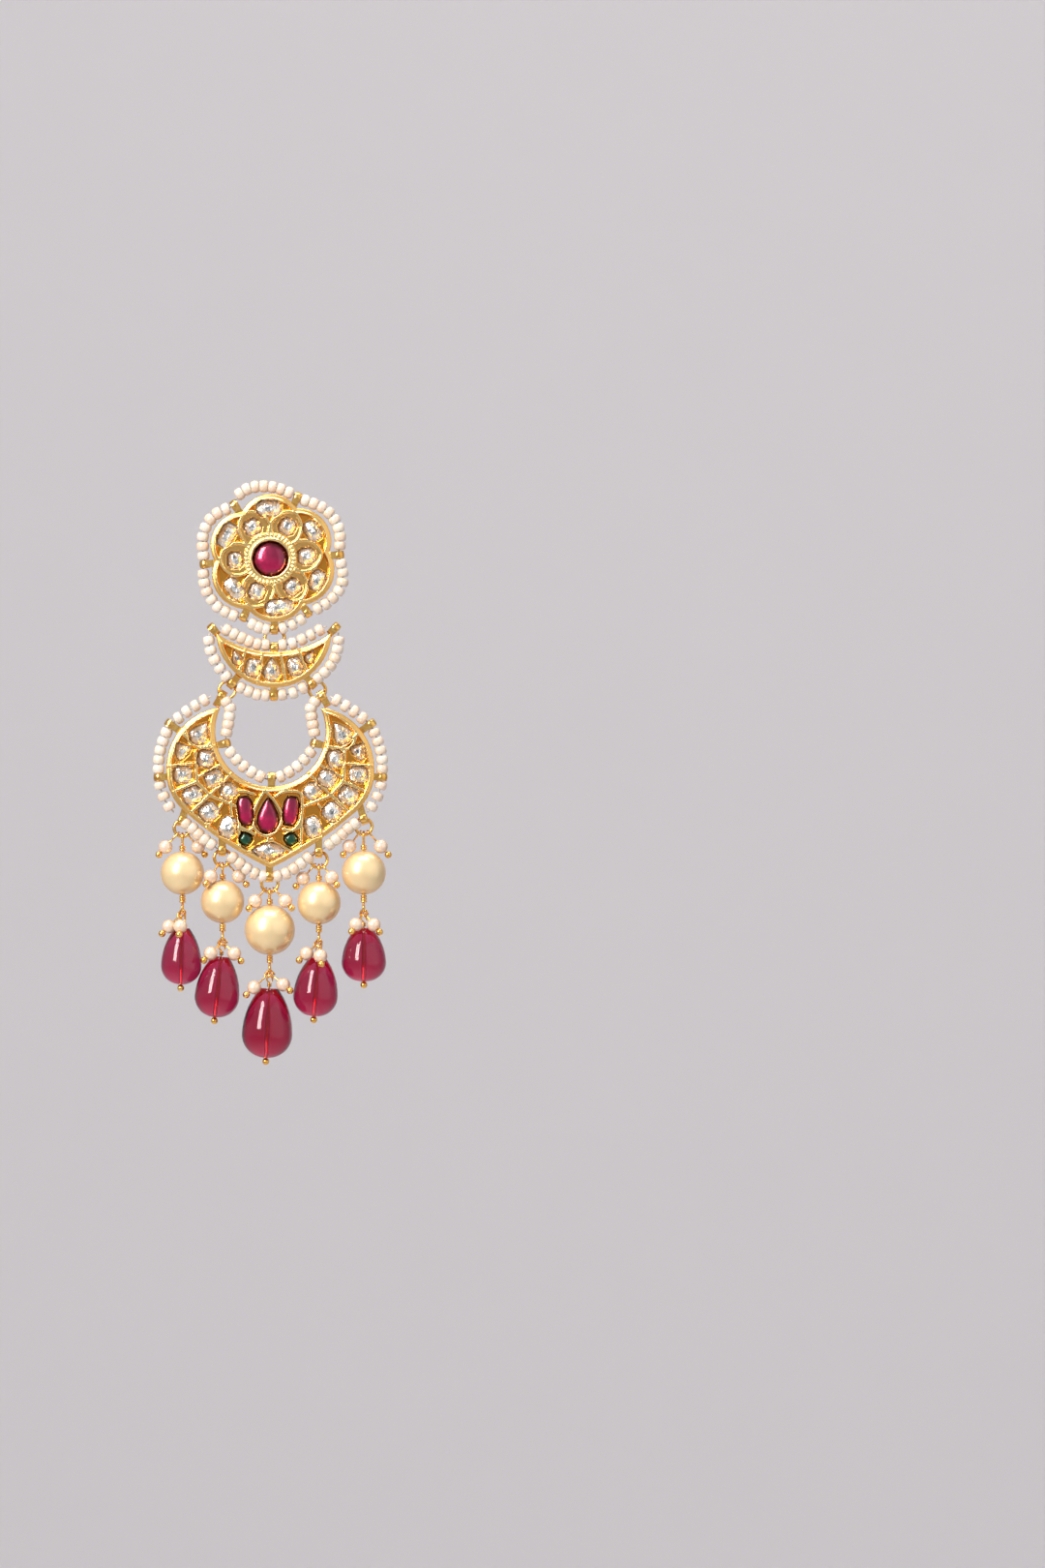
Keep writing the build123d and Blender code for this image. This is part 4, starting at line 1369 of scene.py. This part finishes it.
@dataclass
class BeadStrings:
    """Strings of seed beads in the places of a plate's bead tubes."""

    name: str
    node: str
    body: str
    routes: Sequence[Sequence[Point]]
    depth: float = 2.25
    pitch: float = 1.6
    end: float = 0.62
    thread: float = 0.13
    thread_end: float = 1.3
    thread_sides: int = 6
    curve_steps: int = 12
    line_points: int = 40

    def smooth(self, route: Sequence[Point]) -> np.ndarray:
        """Even curve through a string's points, drawn in at both ends.

        Args:
            route: its points in the front view.

        Returns:
            Points in space along the string.
        """
        line = np.array(curved(route, self.curve_steps))
        along = np.concatenate([[0], np.cumsum(np.hypot(*np.diff(line, axis=0).T))])
        wanted = np.linspace(self.end, along[-1] - self.end, self.line_points)
        x, z = (np.interp(wanted, along, line[:, axis]) for axis in (0, 1))
        return np.column_stack([x, np.full(len(x), -self.depth), z])

    def build(
        self,
        tree: BeadTree,
        bead: bpy.types.Object,
        material: bpy.types.Material,
        cotton: bpy.types.Material,
    ) -> None:
        """String the beads and draw the thread that shows between them.

        Args:
            tree: the tree that strings them.
            bead: the bead's shape.
            material: the beads' finish.
            cotton: the thread's finish.
        """
        lines = [self.smooth(route) for route in self.routes]
        corners, edges = [], []
        for line in lines:
            edges += [(len(corners) + k, len(corners) + k + 1) for k in range(len(line) - 1)]
            corners += (line * MM).tolist()
        mesh = bpy.data.meshes.new(self.name + "_lines")
        mesh.from_pydata(corners, edges, [])
        carrier = bpy.data.objects.new(self.name + "_lines", mesh)
        bpy.context.scene.collection.objects.link(carrier)
        modifier = carrier.modifiers.new("beads", "NODES")
        modifier.node_group = tree.tree
        inputs = {"Pitch": self.pitch * MM, "Bead": bead, "Finish": material, "Seed": SEED}
        for name, value in inputs.items():
            modifier[tree.identifier(name)] = value
        bpy.context.view_layer.update()
        graph = bpy.context.evaluated_depsgraph_get()
        strung = bpy.data.meshes.new_from_object(carrier.evaluated_get(graph))
        carrier.modifiers.remove(modifier)
        bpy.data.objects.remove(carrier)
        strung.polygons.foreach_set("use_smooth", [True] * len(strung.polygons))
        piece = bpy.data.objects.new(self.name, strung)
        bpy.context.scene.collection.objects.link(piece)
        dress(piece, self.body, [self.node])
        self.draw_thread(lines, cotton)

    def draw_thread(self, lines: Sequence[np.ndarray], cotton: bpy.types.Material) -> None:
        """Draw the thread through each string and towards the loops beside it.

        Args:
            lines: the strings' centre lines.
            cotton: the thread's finish.
        """
        corners: list = []
        faces: list = []
        sides, backward = self.thread_sides, np.array((0, 1, 0))
        for line in lines:
            first, last = (
                end + (end - inner) / np.linalg.norm(end - inner) * self.thread_end
                for end, inner in ((line[0], line[1]), (line[-1], line[-2]))
            )
            run = np.vstack([first, line[::4], line[-1], last])
            base = len(corners)
            for spot, way in zip(run, np.gradient(run, axis=0)):
                across = np.cross(way / np.linalg.norm(way), backward)
                for k in range(sides):
                    turn = -math.tau * k / sides
                    offset = across * math.cos(turn) + backward * math.sin(turn)
                    corners.append(spot + offset * self.thread)
            faces += ring_faces(len(run), sides, base, start=3)
            faces.append(range(base, base + sides))
            faces.append(range(len(corners) - 1, len(corners) - 1 - sides, -1))
        piece = add_mesh(self.name + "_thread", np.array(corners), faces, cotton)
        dress(piece, self.body)


@dataclass
class Loops:
    """Rounded gold barrels over the straps that the threads run through."""

    name: str
    body: str
    pegs: Sequence[tuple[float, float, float]]
    depth: float = 2.25
    radius: float = 1.0
    half: float = 0.68
    sides: int = 20
    # radius and place of each corner of half a barrel's profile, as shares of its own
    end: Sequence[Point] = ((0.52, -1.0), (0.78, -0.98), (0.93, -0.8), (1.0, -0.4), (1.02, 0.0))

    def build(self, material: bpy.types.Material) -> None:
        """Make all the barrels as one mesh.

        Args:
            material: their gold.
        """
        profile = [*self.end, *((share, -place) for share, place in self.end[-2::-1])]
        corners: list = []
        faces: list = []
        forward = np.array([0, -1, 0])
        for x, z, angle in self.pegs:
            (ax, az), (bx, bz) = polar(1, angle + 90), polar(1, angle + 180)
            along, across = np.array([ax, 0, az]), np.array([bx, 0, bz])
            centre = np.array([x, -self.depth, z])
            faces += ring_faces(self.sides, len(profile), len(corners), joined=True)
            for k in range(self.sides):
                spin = math.tau * k / self.sides
                way = (across * math.cos(spin) + forward * math.sin(spin)) * self.radius
                corners += [centre + way * r + along * place * self.half for r, place in profile]
        piece = add_mesh(self.name, np.array(corners), faces, material)
        dress(piece, self.body)


# ---------------------------------------------------------------- studio


@dataclass
class SoftBox:
    """Rectangular lamp that faces a point; places and sizes are in metres."""

    name: str
    place: Sequence[float]
    size: Point
    power: float
    tint: Colour = (1.0, 1.0, 1.0)
    aim: Sequence[float] = (0, 0, -0.05)

    def build(self) -> None:
        """Hang the lamp."""
        data = bpy.data.lights.new(self.name, "AREA")
        data.shape = "RECTANGLE"
        data.size, data.size_y = self.size
        data.energy = self.power
        data.color = self.tint
        lamp = bpy.data.objects.new(self.name, data)
        lamp.location = self.place
        way = Vector(self.aim) - Vector(self.place)
        lamp.rotation_euler = way.to_track_quat("-Z", "Y").to_euler()
        bpy.context.scene.collection.objects.link(lamp)


@dataclass
class Studio:
    """Camera, lights, wall and floor."""

    lens: float = 150.0
    camera_distance: float = 1.125
    aim: Point = (43.33, -38.67)
    wall_depth: float = 1.4
    floor_height: float = -0.75
    half_width: float = 6.0
    paper: Colour = (0.74, 0.715, 0.72)
    glow_low: Colour = (0.34, 0.29, 0.25)
    glow_high: Colour = (0.93, 0.94, 1.0)
    glow: float = 0.5
    lamps: Sequence[SoftBox] = (
        SoftBox("key", (-0.4, -0.55, 0.3), (0.24, 0.6), 7.5, (1.0, 0.98, 0.95)),
        SoftBox("fill", (0.6, -0.45, 0.1), (0.9, 0.9), 1.2, (1.0, 0.96, 0.9)),
        SoftBox("top", (0.0, -0.1, 0.6), (0.4, 0.2), 2.4),
        SoftBox(
            "wall_wash", (0.3, 0.5, 1.6), (1.5, 0.3), 10, (1.0, 0.97, 0.97), (0.2, 1.4, -0.1)
        ),
    )

    def camera(self) -> None:
        """Place the camera straight in front, as the photograph shows the earring."""
        data = bpy.data.cameras.new("camera")
        data.lens = self.lens
        data.clip_start, data.clip_end = 0.05, 20
        camera = bpy.data.objects.new("camera", data)
        camera.location = (self.aim[0] * MM, -self.camera_distance, self.aim[1] * MM)
        camera.rotation_euler = (math.radians(90), 0, 0)
        bpy.context.scene.collection.objects.link(camera)
        bpy.context.scene.camera = camera

    def surround(self) -> None:
        """Give the room its soft light, brighter above than below."""
        world = bpy.data.worlds.new("room")
        world.use_nodes = True
        graph = Graph(world.node_tree)
        where = graph.value("ShaderNodeTexCoord", "Generated")
        height = graph.value("ShaderNodeSeparateXYZ", "Z", {0: where}).step(-0.9, 0.25)
        tone = graph.blend(height, self.glow_low, self.glow_high)
        glow = graph.value("ShaderNodeBackground", 0, {"Color": tone, "Strength": self.glow})
        graph.add("ShaderNodeOutputWorld", {"Surface": glow})
        bpy.context.scene.world = world

    def ground(self) -> None:
        """Set the pale wall and floor far from the earring."""
        paper = Paper("studio_paper", self.paper).make()
        half, back, low = (
            size / MM for size in (self.half_width, self.wall_depth, self.floor_height)
        )
        made = []
        for name, near, up in (("studio_wall", back, half), ("studio_floor", -half, low)):
            corners = [(-half, near, low), (half, near, low), (half, back, up), (-half, back, up)]
            made.append(add_mesh(name, np.array(corners), [(0, 1, 2, 3)], paper))
        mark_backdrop(*made)

    def build(self) -> None:
        """Set the whole studio."""
        bpy.context.scene.view_settings.view_transform = "Standard"
        self.camera()
        self.surround()
        self.ground()
        for lamp in self.lamps:
            lamp.build()


# ---------------------------------------------------------------- earring


class Earring:
    """All the pieces of the earring and their finishes."""

    def __init__(self) -> None:
        """Make the finishes."""
        self.foil = CastGold("gold_front", rough=0.18).make()
        self.metal = Gold("gold_wire", rough=0.2, wave=0.006, grain=0.004).make()
        self.polki = FoiledStone("polki").make()
        # for each stone, the first colour is painted light in its lower part and the last is
        # painted shade at its girdle
        self.ruby = ColouredStone(
            "ruby", glow=(0.56, 0.0, 0.085), middle=(0.24, 0.0, 0.04), deep=(0.065, 0.0, 0.012)
        ).make()
        self.emerald = ColouredStone(
            "emerald", glow=(0.0, 0.12, 0.05), middle=(0.0, 0.04, 0.018), deep=(0.0, 0.01, 0.006)
        ).make()
        self.glass = Glass("drop_glass").make()
        # the second colour of each pearl is its painted reflection towards the outline
        self.pearl = Nacre("pearl", (0.88, 0.68, 0.38), (0.82, 0.44, 0.12), metallic=0.35).make()
        self.small = Nacre("small_pearl", (0.9, 0.7, 0.53), (0.78, 0.42, 0.2), rough=0.2).make()
        self.beads = SeedGlass("seed_glass").make()
        self.cotton = Cotton("thread").make()

    def paint(self) -> None:
        """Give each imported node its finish."""
        for name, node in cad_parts.items():
            if name.startswith("small_pearls"):
                finish = self.small
            elif name.startswith("pearl_") and "wire" not in name:
                finish = self.pearl
            elif name.startswith("drop_") and "pin" not in name:
                finish = self.glass
            else:
                finish = self.metal
            node.data.materials.clear()
            node.data.materials.append(finish)

    def reliefs(self) -> None:
        """Lay the gold fronts over the plates."""
        FlowerRelief().build(self.foil)
        Relief(
            name="crescent_relief",
            node="crescent_plate",
            body="crescent",
            stones=("crescent_stones",),
            ridges=[Ridge(wall) for wall in CRESCENT_WALLS],
            cell=0.07,
        ).build(self.foil)
        Relief(
            name="pendant_relief",
            node="pendant_plate",
            body="pendant",
            stones=(
                "pendant_outer_stones", "pendant_inner_stones", "ruby_left", "ruby_right",
                "ruby_centre", "emerald_left", "emerald_right", "foot_stone",
            ),
            ridges=[
                *(Ridge(wall) for wall in both_sides(PENDANT_WALLS)),
                *(Ridge(curved(wall), height=3.46) for wall in LOTUS_WALLS),
                *(Ridge(curved(wall), height=3.3) for wall in HORN_WALLS),
            ],
        ).build(self.foil)

    def stones(self) -> None:
        """Set the stones."""
        for name, nodes, body in (
            ("flower_polki", ("flower_outer_stones", "flower_inner_stones"), "flower"),
            ("crescent_polki", ("crescent_stones",), "crescent"),
            (
                "pendant_polki",
                ("pendant_outer_stones", "pendant_inner_stones", "foot_stone"),
                "pendant",
            ),
        ):
            StoneSet(name, nodes, body, Slot.POLKI).build(self.polki)
        ruby, emerald = (Slot.RUBY, self.ruby), (Slot.EMERALD, self.emerald)
        for name, node, body, rise, (slot, finish) in (
            ("flower_ruby_dome", "flower_ruby", "flower", 0.3, ruby),
            ("pendant_ruby_left", "ruby_left", "pendant", 0.35, ruby),
            ("pendant_ruby_right", "ruby_right", "pendant", 0.35, ruby),
            ("pendant_ruby_centre", "ruby_centre", "pendant", 0.35, ruby),
            ("pendant_emerald_left", "emerald_left", "pendant", 0.25, emerald),
            ("pendant_emerald_right", "emerald_right", "pendant", 0.25, emerald),
        ):
            StoneSet(name, (node,), body, slot, domed=True, rise=rise).build(finish)

    def strings(self) -> None:
        """String the seed beads."""
        bead = SeedBead().build(self.beads)
        tree = BeadTree()
        for part, body, routes in (
            ("flower", "flower", FLOWER_ROUTES),
            ("crescent", "crescent", CRESCENT_ROUTES),
            ("pendant_outer", "pendant", both_sides(OUTER_ROUTES)),
            ("pendant_inner", "pendant", both_sides(INNER_ROUTES)),
        ):
            strings = BeadStrings(f"{part}_seed_beads", f"{part}_beads", body, routes)
            strings.build(tree, bead, self.beads, self.cotton)
        bpy.data.objects.remove(bead)

    def loops(self) -> None:
        """Round the straps of the threads and the fronts of the eyes."""
        for body, pegs, eyes in (
            ("flower", FLOWER_PEGS, FLOWER_EYES),
            ("crescent", CRESCENT_PEGS, CRESCENT_EYES),
            ("pendant", PENDANT_PEGS, PENDANT_EYES),
        ):
            Loops(f"{body}_loops", body, pegs).build(self.metal)
            Loops(f"{body}_eye_fronts", body, eyes, depth=2.27, radius=0.84).build(self.metal)

    def build(self) -> None:
        """Make the whole earring."""
        self.paint()
        self.reliefs()
        self.loops()
        self.stones()
        self.strings()


def note_size(sizes: dict[str, list[list[float]]], moment: str) -> None:
    """Keep the shown object's box under the name of a moment."""
    low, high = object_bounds()
    sizes[moment] = [list(low), list(high)]


def main() -> None:
    """Dress the frame, set the studio and finish."""
    sizes: dict[str, list[list[float]]] = {}
    note_size(sizes, "frame")
    Earring().build()
    Studio().build()
    note_size(sizes, "dressed")


if __name__ == "__main__":
    main()
